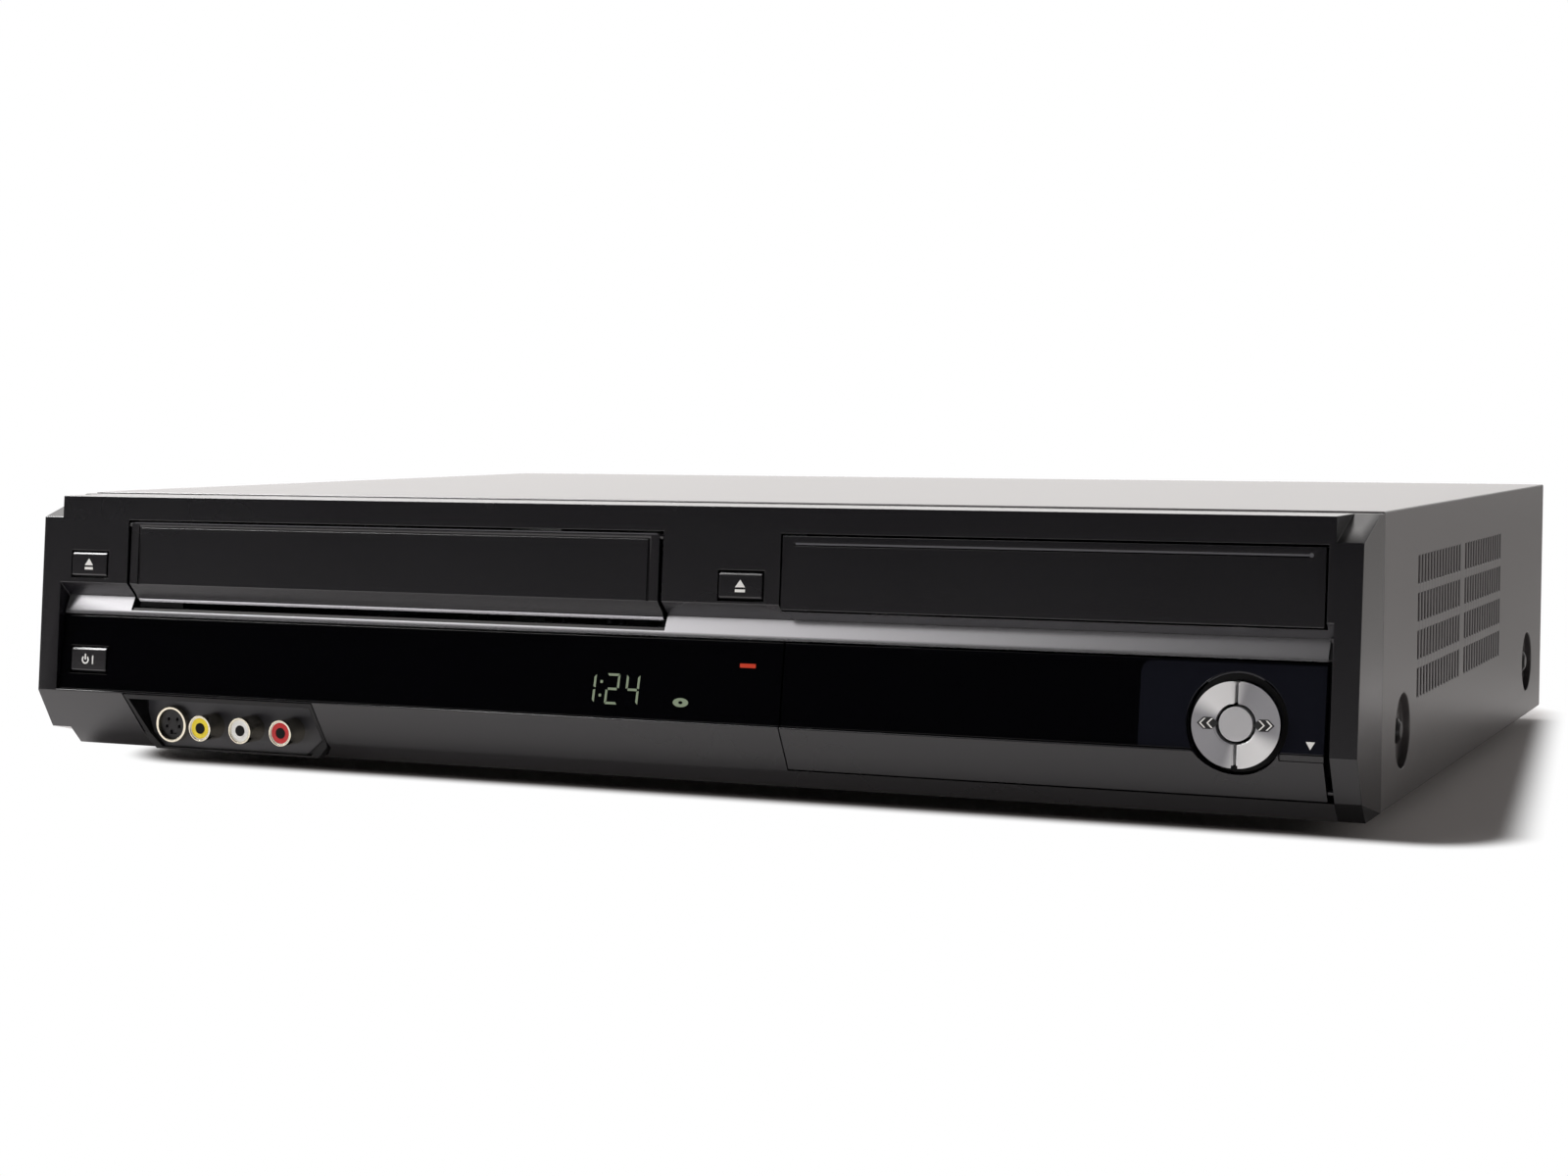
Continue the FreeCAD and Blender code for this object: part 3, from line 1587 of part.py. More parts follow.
def make_deck():
    """Deck plate on short legs, and the two side walls that guide the carrier."""
    near = front + s.carrier_front
    level = s.deck_level
    side = s.deck_side
    low_x = slot_middle - side
    high_x = slot_middle + side
    plate_high = (high_x, near + s.deck_length, level + s.deck_thickness)
    plate = block("DeckPlateSlab", (low_x, near, level), plate_high)
    walls = []
    for number, sign in enumerate((-1, 1)):
        reach = s.cassette_width / 2 + s.cassette_play + s.carrier_sheet + s.sheet_gap
        inner = slot_middle + reach * sign
        outer = inner + s.guide_wall * sign
        low_wall, high_wall = (outer, inner) if sign < 0 else (inner, outer)
        far = near + s.cassette_depth + s.carrier_travel + 6
        walls.append(block("DeckWall%d" % number, (low_wall, near, level), (high_wall, far, s.cover_low)))
    legs = []
    wide = s.deck_leg_width
    sides = (low_x + s.deck_leg_inset, high_x - s.deck_leg_inset - wide)
    depths = (near + s.deck_leg_front, near + s.deck_leg_back)
    for number, (x, y) in enumerate([(x, y) for y in depths for x in sides]):
        high = (x + wide, y + wide, level + s.seat_overlap)
        legs.append(block("DeckLeg%d" % number, (x, y, s.chassis_top), high))
    keep("deck_plate", fuse("DeckPlate", plate, *walls, *legs))


def make_carrier():
    """Sheet cassette holder, open at the front, with windows for the reels."""
    inner = s.cassette_width / 2 + s.cassette_play
    outer = inner + s.carrier_sheet
    near = front + s.carrier_front
    far = near + s.cassette_depth + 2
    floor = slot_low - s.carrier_sheet
    high = slot_low + s.cassette_height + s.cassette_play * 2
    box_high = (slot_middle + outer, far, high + s.carrier_sheet)
    box = block("CarrierOuter", (slot_middle - outer, near, floor), box_high)
    hollow_high = (slot_middle + inner, far - 1, high)
    hollow = block("CarrierInner", (slot_middle - inner, near - 1, slot_low), hollow_high)
    lip = s.carrier_lip
    roof = block(
        "CarrierRoof",
        (slot_middle - inner + lip, near - 1, high - 1),
        (slot_middle + inner - lip, far - 12, high + 3),
    )
    windows = []
    for number, sign in enumerate((-1, 1)):
        centre = (slot_middle + s.reel_spacing / 2 * sign, near + s.cassette_depth / 2, floor - 1)
        windows.append(rod("CarrierWindow%d" % number, centre, "z", s.reel_flange_radius + 6, 4))
    back_window = block(
        "CarrierBack",
        (slot_middle - inner + lip, far - 2, slot_low + 3),
        (slot_middle + inner - lip, far + 1, high - 3),
    )
    keep("cassette_carrier", cut("CassetteCarrier", box, hollow, roof, back_window, *windows))


def deck_top():
    return s.deck_level + s.deck_thickness


def make_reels():
    """Reel tables with six-sided drive hubs."""
    for node, sign in (("supply_reel_table", -1), ("take_up_reel_table", 1)):
        side = slot_middle + s.reel_spacing / 2 * sign
        depth = front + s.reel_back
        disc = turned(
            node + "Disc",
            [
                (0, 0),
                (4, 0),
                (4, 1),
                (s.reel_flange_radius, 1),
                (s.reel_flange_radius, 4),
                (s.reel_hub_radius, 4),
                (s.reel_hub_radius - 1, s.reel_height - 2),
                (s.reel_hub_radius - 4, s.reel_height),
                (0, s.reel_height),
            ],
        )
        place(disc, side, depth, deck_top() + 0.2)
        ribs = []
        for number in range(3):
            rib = doc.addObject("Part::Box", "%sRib%d" % (node, number))
            bind(rib, "Length", s.reel_hub_radius * 2 + 1.6)
            bind(rib, "Width", 2)
            bind(rib, "Height", s.reel_height - 7)
            angle = 60 * number
            turn(rib, Vector(0, 0, 1), angle)
            reach = s.reel_hub_radius + 0.8
            shift_x = reach * (-math.cos(math.radians(angle))) + math.sin(math.radians(angle))
            shift_y = reach * (-math.sin(math.radians(angle))) - math.cos(math.radians(angle))
            ribs.append(place(rib, side + shift_x, depth + shift_y, deck_top() + 4))
        keep(node, fuse(node + "Table", disc, *ribs))


def make_drum():
    """Tilted head drum: fixed lower half with a tape ledge and a spinning upper half."""
    lower = turned(
        "DrumLower",
        [
            (0, 0),
            (s.drum_radius - 6, 0),
            (s.drum_radius - 6, 5),
            (s.drum_radius, 5),
            (s.drum_radius, s.drum_lower_height),
            (0, s.drum_lower_height),
        ],
    )
    upper = turned(
        "DrumUpper",
        [
            (0, 0),
            (s.drum_radius, 0),
            (s.drum_radius, s.drum_upper_height - 1),
            (s.drum_radius - 1, s.drum_upper_height),
            (s.drum_radius - 5, s.drum_upper_height),
            (s.drum_radius - 5, s.drum_upper_height - 4),
            (9, s.drum_upper_height - 4),
            (9, s.drum_upper_height + 1),
            (0, s.drum_upper_height + 1),
        ],
    )
    seat = block(
        "DrumBase",
        (slot_middle - s.drum_radius, front + s.drum_back - 24, deck_top()),
        (slot_middle + s.drum_radius, front + s.drum_back + 24, deck_top() + 6),
    )
    sine = math.sin(math.radians(s.drum_tilt.value))
    cosine = math.cos(math.radians(s.drum_tilt.value))
    low = deck_top() + 4
    for item, rise in ((lower, 0), (upper, s.drum_lower_height + s.sheet_gap)):
        turn(item, Vector(0, 1, 0), s.drum_tilt.value)
        shift = size_of(rise)
        place(item, slot_middle + shift * sine, front + s.drum_back, low + shift * cosine)
    keep("head_drum_lower", fuse("HeadDrumLower", lower, seat))
    keep("head_drum_upper", upper)


def make_capstan():
    """Capstan shaft with its flywheel, and the pinch arm with its rubber roller."""
    side = slot_middle + s.capstan_side
    depth = front + s.capstan_back
    shaft = rod("CapstanShaft", (side, depth, deck_top() + 0.3), "z", s.capstan_radius, s.capstan_height)
    wheel = rod("Flywheel", (side, depth, deck_top() + 1), "z", s.flywheel_radius, s.flywheel_height)
    keep("capstan", fuse("Capstan", shaft, wheel))
    pivot_x = side + s.pinch_pivot_side
    pivot_y = depth + s.pinch_pivot_back
    angle = math.radians(s.pinch_angle.value)
    roller_x = pivot_x + s.pinch_arm * math.cos(angle)
    roller_y = pivot_y + s.pinch_arm * math.sin(angle)
    arm_low = deck_top() + s.flywheel_height + 3
    arm = block("PinchArmBar", (0, -3, 0), (s.pinch_arm, 3, 2))
    turn(arm, Vector(0, 0, 1), s.pinch_angle.value)
    nudge_x = math.sin(angle) * 3
    nudge_y = -math.cos(angle) * 3
    place(arm, pivot_x + nudge_x, pivot_y + nudge_y, arm_low)
    knuckle = rod("PinchKnuckle", (pivot_x, pivot_y, arm_low), "z", 4, 12)
    bore = rod("PinchBore", (pivot_x, pivot_y, arm_low - 1), "z", 2 + s.running_play, 14)
    pin = rod("RollerPin", (roller_x, roller_y, arm_low), "z", 1.5, s.pinch_height + 4)
    keep("pinch_arm", fuse("PinchArm", cut("PinchArmCut", fuse("PinchBar", arm, knuckle), bore), pin))
    roller_low = (roller_x, roller_y, arm_low + 2.3)
    roller = tube("PinchRoller", roller_low, "z", s.pinch_radius, 1.5 + s.running_play, s.pinch_height)
    keep("pinch_roller", roller)
    post = rod("PinchPost", (pivot_x, pivot_y, deck_top()), "z", 2, arm_low + 14 - deck_top())
    posts = [post]
    for number, (across, along) in enumerate(((-58, -34), (-48, -2), (22, -34))):
        spot = (slot_middle + across, front + s.drum_back + along, deck_top())
        posts.append(rod("GuidePost%d" % number, spot, "z", 2.5, 34))
        spot = (spot[0], spot[1], deck_top() + 8)
        posts.append(rod("GuideRoller%d" % number, spot, "z", 4, 18))
    keep("tape_guides", group("TapeGuides", posts[0], *guide_pairs(posts[1:])))


def guide_pairs(posts):
    pairs = []
    for number in range(0, len(posts), 2):
        pairs.append(fuse("GuidePair%d" % number, posts[number], posts[number + 1]))
    return pairs


# Electronics


# Parts on the boards: place across and back, width, depth and height
MAIN_LUMPS = ((20, 30, 26, 26, 4), (64, 24, 18, 18, 3), (100, 90, 30, 22, 4))
POWER_LUMPS = ((8, 14, 40, 34, 30), (60, 10, 22, 22, 28), (90, 20, 14, 60, 26), (12, 70, 16, 16, 24))


def board_post(name, x, y):
    """Round post from the pan into the underside of a board."""
    start = (x, y, s.chassis_top)
    return rod(name, start, "z", s.board_post_radius, s.board_level + 0.5 - s.chassis_top)


def make_boards():
    """Main board under the drive, power board behind it, display board in front."""
    level = s.board_level
    thick = s.board_thickness
    left = slot_middle + s.deck_side + s.board_side_gap
    right = half - s.board_end_gap
    near = join + 8
    split = front + s.drive_front + s.drive_length + 6
    far = rear_face - 12
    power_left = socket_board_right + s.power_board_gap
    specs = {
        "main_board": ((left, near), (right, split - 4), MAIN_LUMPS),
        "power_board": ((power_left, split), (right, far), POWER_LUMPS),
    }
    for node, ((x0, y0), (x1, y1), lumps) in specs.items():
        board = block(node + "Sheet", (x0, y0, level), (x1, y1, level + thick))
        parts = [board]
        for number, (dx, dy, wide, deep, tall) in enumerate(lumps):
            low = (x0 + dx, y0 + dy, level + thick / 2)
            high = (x0 + dx + wide, y0 + dy + deep, level + thick + tall)
            parts.append(block("%sPart%d" % (node, number), low, high))
        inset = s.board_post_inset
        spots = [(px, py) for py in (y0 + inset, y1 - inset) for px in (x0 + inset, x1 - inset)]
        for number, (px, py) in enumerate(spots):
            parts.append(board_post("%sPost%d" % (node, number), px, py))
        whole = fuse(node + "Whole", *parts)
        if node == "main_board":
            whole = cut("MainBoardCut", whole, *drive_feet(1))
        keep(node, whole)
    tube_left = panel_split - s.tube_length - 2
    deep = front + s.panel_recess_high + s.panel_thickness + 4.5
    low = edge + 3
    tube_high = (tube_left + s.tube_length - 4, deep + s.tube_depth, low + s.tube_height)
    keep("display_tube", block("TubeGlass", (tube_left, deep, low), tube_high))
    behind = deep + s.tube_depth + s.tube_gap
    board_low = (tube_left - 90, behind, low - 1)
    board_high = (tube_left + s.tube_length, behind + thick, low + s.tube_height + 3)
    posts = []
    rise = 20.0
    wall = sunk(rise + 2, s.panel_thickness + s.fascia_wall) + 0.2
    for number, x in enumerate((tube_left - 84, tube_left - 14)):
        length = board_low[1] - wall + 0.2
        posts.append(rod("DisplayPost%d" % number, (x, wall, edge + rise), "y", 2, length))
    keep("display_board", fuse("DisplayBoard", block("DisplayBoardSheet", board_low, board_high), *posts))


def make_fan():
    """Small rear fan: square frame with crossed struts, and a seven-blade rotor."""
    size = s.fan_size / 2
    near = rear_face - s.sheet - s.fan_depth
    far = rear_face - s.sheet
    centre = (fan_side, near, s.fan_level)
    frame = block(
        "FanSquare",
        (fan_side - size, near, s.fan_level - size),
        (fan_side + size, far, s.fan_level + size),
    )
    duct = rod("FanDuct", (fan_side, near - 1, s.fan_level), "y", size - 2, s.fan_depth + 2)
    ring = cut("FanRing", frame, duct)
    seat = far - s.fan_strut_depth
    hub = rod("FanHubSeat", (fan_side, seat, s.fan_level), "y", 8, s.fan_strut_depth)
    thin = s.fan_strut / 2
    reach = size - 1
    strut_low = (fan_side - reach, seat, s.fan_level - thin)
    across = block("FanStrut", strut_low, (fan_side + reach, far, s.fan_level + thin))
    strut_low = (fan_side - thin, seat, s.fan_level - reach)
    upright = block("FanStrutUp", strut_low, (fan_side + thin, far, s.fan_level + reach))
    keep("fan_frame", fuse("FanFrame", ring, hub, across, upright))
    hub_rotor = rod("FanHub", centre, "y", 9, s.fan_depth - 2.3)
    blades = []
    count = int(s.fan_blades.value)
    for number in range(count):
        blade = doc.addObject("Part::Box", "FanBlade%d" % number)
        bind(blade, "Length", size - 3.5)
        bind(blade, "Width", s.fan_depth - 4)
        bind(blade, "Height", 1.2)
        spin = Rotation(Vector(0, 1, 0), 360.0 / count * number)
        blade.Placement = Placement(Vector(0, 0, 0), spin)
        place(blade, fan_side, near + 0.6, s.fan_level)
        blades.append(blade)
    keep("fan_rotor", fuse("FanRotor", hub_rotor, *blades))


# Rear panel and sockets


def scart_recesses(number, x0, x1, z0, z1, mouth):
    """Groove for the plug's shield and two rows of contact slots."""
    lip = s.scart_lip
    groove = s.scart_groove
    bed = mouth - s.scart_depth
    outer_high = (x1 - lip, mouth + 1, z1 - lip)
    outer = block("ScartGrooveOuter%d" % number, (x0 + lip, bed, z0 + lip), outer_high)
    core = block(
        "ScartGrooveInner%d" % number,
        (x0 + lip + groove, bed - 1, z0 + lip + groove),
        (x1 - lip - groove, mouth + 2, z1 - lip - groove),
    )
    tools = [cut("ScartGroove%d" % number, outer, core)]
    for row, rise in enumerate((-2.4, 2.4)):
        for column in range(10):
            x = x0 + lip + groove + 3 + column * 4 + row * 1.6
            z = (z0 + z1) / 2 + rise
            low = (x, mouth - 5, z - 1.4)
            tools.append(block("ScartSlot%d%d%d" % (number, row, column), low, (x + 0.8, mouth + 1, z + 1.4)))
    return tools


def make_rear():
    """Steel rear panel with its sockets, each clear of its own hole."""
    far = rear_face
    near = rear_face - s.sheet
    side = half - s.sheet - s.sheet_gap
    plate = block("RearPlate", (-side, near, bottom + s.sheet_gap), (side, far, cover_inside - s.sheet_gap))
    gap = s.sheet_gap
    holes = []
    socket_front = near - 8

    def opening(name, x0, x1, z0, z1):
        holes.append(block(name, (x0 - gap, near - 1, z0 - gap), (x1 + gap, far + 1, z1 + gap)))

    def round_opening(name, x, z, radius):
        holes.append(rod(name, (x, near - 1, z), "y", radius + gap, s.sheet + 2))

    scarts = []
    for number, level in enumerate((24.0, 50.0)):
        x0 = scart_left
        x1 = x0 + s.scart_width
        z1 = level + s.scart_height
        opening("ScartHole%d" % number, x0, x1, size_of(level), z1)
        body = block("ScartBody%d" % number, (x0, socket_front, level), (x1, far + 3, z1))
        scarts.append(cut("Scart%d" % number, body, *scart_recesses(number, x0, x1, level, z1, far + 3)))
    aerials = []
    aerial_cores = []
    for number, level in enumerate((34, 62)):
        round_opening("AerialHole%d" % number, aerial_side, level, s.aerial_radius)
        start = (aerial_side, socket_front, level)
        reach = back + s.socket_reach - socket_front
        aerials.append(tube("Aerial%d" % number, start, "y", s.aerial_radius, s.aerial_bore, reach))
        name = "AerialCore%d" % number
        aerial_cores.append(tube(name, start, "y", s.aerial_bore, s.aerial_pin, reach - 1.5))
    shells = []
    cores = []
    for column in range(int(s.rear_jack_columns.value)):
        for row in range(2):
            x = rear_jack_side + s.jack_pitch * column
            z = 34 + 26 * row
            name = "RearJack%d%d" % (column, row)
            round_opening(name + "Hole", x, z, s.jack_shell_radius + s.jack_collar_step)
            inner = s.jack_shell_radius - s.jack_shell_wall
            reach = back + s.socket_reach - 1 - socket_front
            start = (x, socket_front, z)
            shells.append(phono_shell(name + "Shell", start, start, reach, reach - s.jack_length))
            cores.append(tube(name + "Core", start, "y", inner, s.jack_bore_radius, reach - 0.4))
    keep("rear_socket_cores", group("RearSocketCores", *cores, *aerial_cores, *scarts))
    opening("HdmiHole", hdmi_side, hdmi_side + 15, size_of(30), size_of(36))
    hdmi = block("HdmiBody", (hdmi_side, socket_front, 30), (hdmi_side + 15, far + 1, 36))
    hdmi_well = block("HdmiWell", (hdmi_side + 0.6, far - 6, 30.6), (hdmi_side + 14.4, far + 2, 35.4))
    tongue = block("DigitalTongue", (hdmi_side + 2.5, far - 7, 32.4), (hdmi_side + 12.5, far - 0.5, 33.8))
    digital = fuse("DigitalSocket", cut("DigitalShell", hdmi, hdmi_well), tongue)
    keep("rear_socket_shells", group("RearSocketShells", *shells, *aerials, digital))
    opening("InletHole", inlet_side, inlet_side + 24, size_of(22), size_of(38))
    inlet = block("InletBody", (inlet_side, socket_front - 8, 22), (inlet_side + 24, far + 1.5, 38))
    inlet_well = block("InletWell", (inlet_side + 4, far - 12, 25.5), (inlet_side + 20, far + 3, 34.5))
    pins = []
    for number, shift in enumerate((8, 16)):
        start = (inlet_side + shift, far - 13, 30)
        pins.append(rod("InletPin%d" % number, start, "y", 1.2, 7.5))
    keep("mains_inlet", fuse("MainsInlet", cut("InletCut", inlet, inlet_well), *pins))
    vent = []
    for number in range(9):
        z = s.fan_level - s.fan_size / 2 + 5 + number * 4.6
        reach = s.fan_size / 2 - 5
        low_corner = (fan_side - reach, near - 1, z)
        vent.append(block("FanSlot%d" % number, low_corner, (fan_side + reach, far + 1, z + 2.4)))
    for number, x in enumerate(tab_sides()):
        z = cover_inside - s.tab_drop / 2
        radius = s.screw_shank_radius
        round_opening("RearScrewHole%d" % number, x, z, radius)
    keep("rear_panel", cut("RearPanel", plate, *holes, *vent))


def make_tuner():
    """Sealed tuner can and the board that carries the rear sockets."""
    socket_front = rear_face - s.sheet - 8.3
    can_half = s.tuner_width / 2
    low = (aerial_side - can_half, socket_front - s.tuner_depth, s.tuner_low)
    high = (aerial_side + can_half, socket_front, s.tuner_top)
    start = (aerial_side, socket_front - s.tuner_depth / 2, s.chassis_top)
    post = rod("TunerPost", start, "z", s.tuner_post_radius, s.tuner_low + 0.5 - s.chassis_top)
    keep("tuner_can", fuse("TunerCan", block("TunerBox", low, high), post))
    board_low = (aerial_side + 16, socket_front - s.socket_board_depth, s.board_level)
    board_high = (socket_board_right, socket_front + 7, s.board_level + s.board_thickness)
    board = block("SocketBoardSheet", board_low, board_high)
    riser_low = (scart_left, socket_front - 2, s.board_level)
    riser_high = (hdmi_side + 16, socket_front, s.riser_top)
    riser = block("SocketRiser", riser_low, riser_high)
    posts = []
    for number, x in enumerate((aerial_side + 22, socket_board_right - 6)):
        posts.append(board_post("SocketPost%d" % number, x, socket_front - 28))
    keep("socket_board", fuse("SocketBoard", board, riser, *posts))


def build():
    make_cover()
    make_chassis()
    make_feet()
    make_screws()
    make_fascia()
    make_flap()
    make_trim()
    make_window()
    make_door()
    make_tray_front()
    make_keys()
    make_ring()
    make_control_panel()
    make_jack_bay()
    make_jacks()
    make_drive_case()
    make_tray()
    make_drive_train()
    make_traverse()
    make_deck()
    make_carrier()
    make_reels()
    make_drum()
    make_capstan()
    make_boards()
    make_fan()
    make_rear()
    make_tuner()


def check():
    """Stop before writing if a feature failed or a shape isn't sound."""
    for item in doc.Objects:
        if "Invalid" in item.State or "Error" in item.State:
            raise RuntimeError("%s: %s" % (item.Label, item.State))
    for node, item in nodes.items():
        if item.Shape.isNull() or not item.Shape.isValid():
            raise RuntimeError("bad shape: " + node)


def write():
    os.makedirs("parts", exist_ok=True)
    for node, item in nodes.items():
        item.Shape.exportStep("parts/%s.step" % node)


build()
doc.recompute()
check()
write()
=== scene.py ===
import math

import bmesh
import bpy
from mathutils import Matrix, Vector


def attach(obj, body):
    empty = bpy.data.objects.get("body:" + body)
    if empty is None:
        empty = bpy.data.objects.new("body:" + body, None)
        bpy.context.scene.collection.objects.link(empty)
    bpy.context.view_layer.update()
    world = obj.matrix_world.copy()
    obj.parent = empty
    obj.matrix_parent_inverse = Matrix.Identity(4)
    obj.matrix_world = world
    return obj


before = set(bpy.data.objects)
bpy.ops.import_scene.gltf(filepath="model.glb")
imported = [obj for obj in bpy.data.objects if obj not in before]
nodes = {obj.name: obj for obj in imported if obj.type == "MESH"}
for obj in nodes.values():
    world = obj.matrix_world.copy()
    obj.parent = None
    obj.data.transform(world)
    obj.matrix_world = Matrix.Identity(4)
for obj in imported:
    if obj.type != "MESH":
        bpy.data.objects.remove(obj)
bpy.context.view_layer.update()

MM = 0.001

# The recorder's own lines, in metres: the face's lower edge, how the face leans back with its
# rise, and how deep the lower gloss panels are set in at the edge and by their rise
FRONT = -164.15 * MM
EDGE = 23.4 * MM
LEAN = 5.16 / 56.2
SUNK_LOW = 1.0 * MM
SUNK_SHARE = 1.6 / 24.6

# Places on the face, in millimetres: across from the middle and rise above the lower edge
RING_X = 182.5
RING_RISE = 7.8
POWER_X = -197.4
POWER_RISE = 10.2
JACKS_X = (-152.2, -136.9, -121.6)
JACKS_RISE = -10.0


def face(rise):
    """Y of the upper face, rise above the front edge."""
    return FRONT + rise * LEAN


def sunk(rise):
    """Y of the lower gloss panels, rise above the front edge."""
    return face(rise) + SUNK_LOW + rise * SUNK_SHARE


# Materials

GRAIN_DETAIL = 3.0
GRAIN_DEPTH = 0.2 * MM
CLOUD_SCALE = 18.0
CLOUD_DETAIL = 4.0


def srgb(*values):
    """Linear colour from 8-bit screen values."""
    out = []
    for value in values:
        c = value / 255
        out.append(c / 12.92 if c <= 0.04045 else ((c + 0.055) / 1.055) ** 2.4)
    return (*out, 1.0)


def node(tree, kind, **settings):
    """New shader node, with values for its sockets or its own settings."""
    made = tree.nodes.new(kind)
    for key, value in settings.items():
        if key in made.inputs:
            made.inputs[key].default_value = value
        else:
            setattr(made, key, value)
    return made


def feed(tree, made, values):
    """Fill a node's inputs in order, each from a socket or with a plain value."""
    for value, target in zip(values, made.inputs):
        if isinstance(value, bpy.types.NodeSocket):
            tree.links.new(value, target)
        else:
            target.default_value = value
    return made


def number_of(tree, operation, *values):
    """Result of a maths node."""
    return feed(tree, node(tree, "ShaderNodeMath", operation=operation), values).outputs["Value"]


def vector_of(tree, operation, *values):
    """Result of a vector maths node."""
    made = feed(tree, node(tree, "ShaderNodeVectorMath", operation=operation), values)
    return made.outputs["Value" if operation == "LENGTH" else "Vector"]


def place_of(tree, space="Object"):
    """Where a point lies, in one of the texture spaces."""
    return node(tree, "ShaderNodeTexCoord").outputs[space]


def parts_of(tree, vector):
    """X, Y and Z of a vector."""
    return feed(tree, node(tree, "ShaderNodeSeparateXYZ"), [vector]).outputs


def ramp_of(tree, source, low, high, to_low=0.0, to_high=1.0):
    """Smooth step of a value between two limits."""
    made = node(tree, "ShaderNodeMapRange", interpolation_type="SMOOTHSTEP")
    return feed(tree, made, (source, low, high, to_low, to_high)).outputs["Result"]


def mix_colors(tree, share, first, second):
    """Colour between two by a share."""
    made = node(tree, "ShaderNodeMix", data_type="RGBA")
    colors = [socket for socket in made.inputs if socket.type == "RGBA"]
    colors[0].default_value = first
    colors[1].default_value = second
    tree.links.new(share, made.inputs[0])
    return [socket for socket in made.outputs if socket.type == "RGBA"][0]


def mix_shaders(tree, share, first, second):
    """Shader between two by a share."""
    return feed(tree, node(tree, "ShaderNodeMixShader"), (share, first, second)).outputs["Shader"]


def reach_past(tree, place, centre, core):
    """Distance of a place outside a box, given by its centre and half its size."""
    fold = vector_of(tree, "ABSOLUTE", vector_of(tree, "SUBTRACT", place, centre))
    past = vector_of(tree, "SUBTRACT", fold, core)
    return vector_of(tree, "LENGTH", vector_of(tree, "MAXIMUM", past, (0, 0, 0)))


def material(name, color, rough, metal=0.0, specular=0.5, grain=0.0, scale=900.0, cloud=0.0):
    """Principled material with an optional fine grain and a slow cloud in its roughness."""
    made = bpy.data.materials.new(name)
    made.use_nodes = True
    tree = made.node_tree
    shader = tree.nodes["Principled BSDF"]
    shader.inputs["Base Color"].default_value = color
    shader.inputs["Roughness"].default_value = rough
    shader.inputs["Metallic"].default_value = metal
    shader.inputs["Specular IOR Level"].default_value = specular
    if grain:
        noise = node(tree, "ShaderNodeTexNoise", Scale=scale, Detail=GRAIN_DETAIL)
        tree.links.new(place_of(tree), noise.inputs["Vector"])
        bump = node(tree, "ShaderNodeBump", Strength=grain, Distance=GRAIN_DEPTH)
        tree.links.new(noise.outputs["Fac"], bump.inputs["Height"])
        tree.links.new(bump.outputs["Normal"], shader.inputs["Normal"])
    if cloud:
        slow = node(tree, "ShaderNodeTexNoise", Scale=CLOUD_SCALE, Detail=CLOUD_DETAIL)
        tree.links.new(place_of(tree), slow.inputs["Vector"])
        span = node(tree, "ShaderNodeMapRange")
        span.inputs["To Min"].default_value = rough - cloud
        span.inputs["To Max"].default_value = rough + cloud
        tree.links.new(slow.outputs["Fac"], span.inputs["Value"])
        tree.links.new(span.outputs["Result"], shader.inputs["Roughness"])
    return made


def glowing(name, color, strength):
    """Material that gives off its own colour."""
    made = material(name, color, 0.4)
    shader = made.node_tree.nodes["Principled BSDF"]
    shader.inputs["Emission Color"].default_value = color
    shader.inputs["Emission Strength"].default_value = strength
    return made


GLOSS_BLACK = srgb(3, 3, 5)
PALE_BLACK = srgb(21, 22, 29)
PALE_CENTRE = (190 * MM, 0, EDGE + 8.7 * MM)
PALE_CORE = (31 * MM, 1, 11.7 * MM)
PALE_CORNER = 3.2 * MM
PALE_BLUR = 0.2 * MM


def tinted_gloss(name):
    """Gloss skin with a paler rounded area behind its surface."""
    made = material(name, GLOSS_BLACK, 0.06, specular=0.4)
    tree = made.node_tree
    reach = reach_past(tree, place_of(tree), PALE_CENTRE, PALE_CORE)
    share = ramp_of(tree, reach, PALE_CORNER, PALE_CORNER + PALE_BLUR)
    color = mix_colors(tree, share, PALE_BLACK, GLOSS_BLACK)
    tree.links.new(color, tree.nodes["Principled BSDF"].inputs["Base Color"])
    return made


SPUN_AXIS = (0, 1, 0)
SPUN_STRETCH = 0.7
# Painted reflection on the turned ring: grey between two bright wedges, with the wedges' angle and soft
# edges
GLINT_PAINT_DARK = srgb(160, 160, 164)
GLINT_PAINT_BRIGHT = srgb(255, 255, 255)
GLINT_PAINT_ANGLE = math.radians(120)
GLINT_PAINT_EDGES = (-0.2, 0.85)


def turned_metal_painted_glint(name, centre):
    """Turned face: anisotropy stretches its reflection about a centre, and two bright wedges about that
    centre are a painted reflection in its colour.
    """
    made = material(name, srgb(176, 177, 180), 0.26, metal=0.35)
    tree = made.node_tree
    shader = tree.nodes["Principled BSDF"]
    shader.inputs["Anisotropic"].default_value = SPUN_STRETCH
    shift = vector_of(tree, "SUBTRACT", place_of(tree), centre)
    turn = vector_of(tree, "CROSS_PRODUCT", SPUN_AXIS, shift)
    tree.links.new(vector_of(tree, "NORMALIZE", turn), shader.inputs["Tangent"])
    parts = parts_of(tree, shift)
    # Painted reflection: the colour brightens in two wedges by angle about the centre
    angle = number_of(tree, "ARCTAN2", parts["Z"], parts["X"])
    twice = number_of(tree, "MULTIPLY_ADD", angle, 2.0, -2.0 * GLINT_PAINT_ANGLE)
    glint_share = ramp_of(tree, number_of(tree, "COSINE", twice), *GLINT_PAINT_EDGES)
    glint_color = mix_colors(tree, glint_share, GLINT_PAINT_DARK, GLINT_PAINT_BRIGHT)
    tree.links.new(glint_color, shader.inputs["Base Color"])
    return made


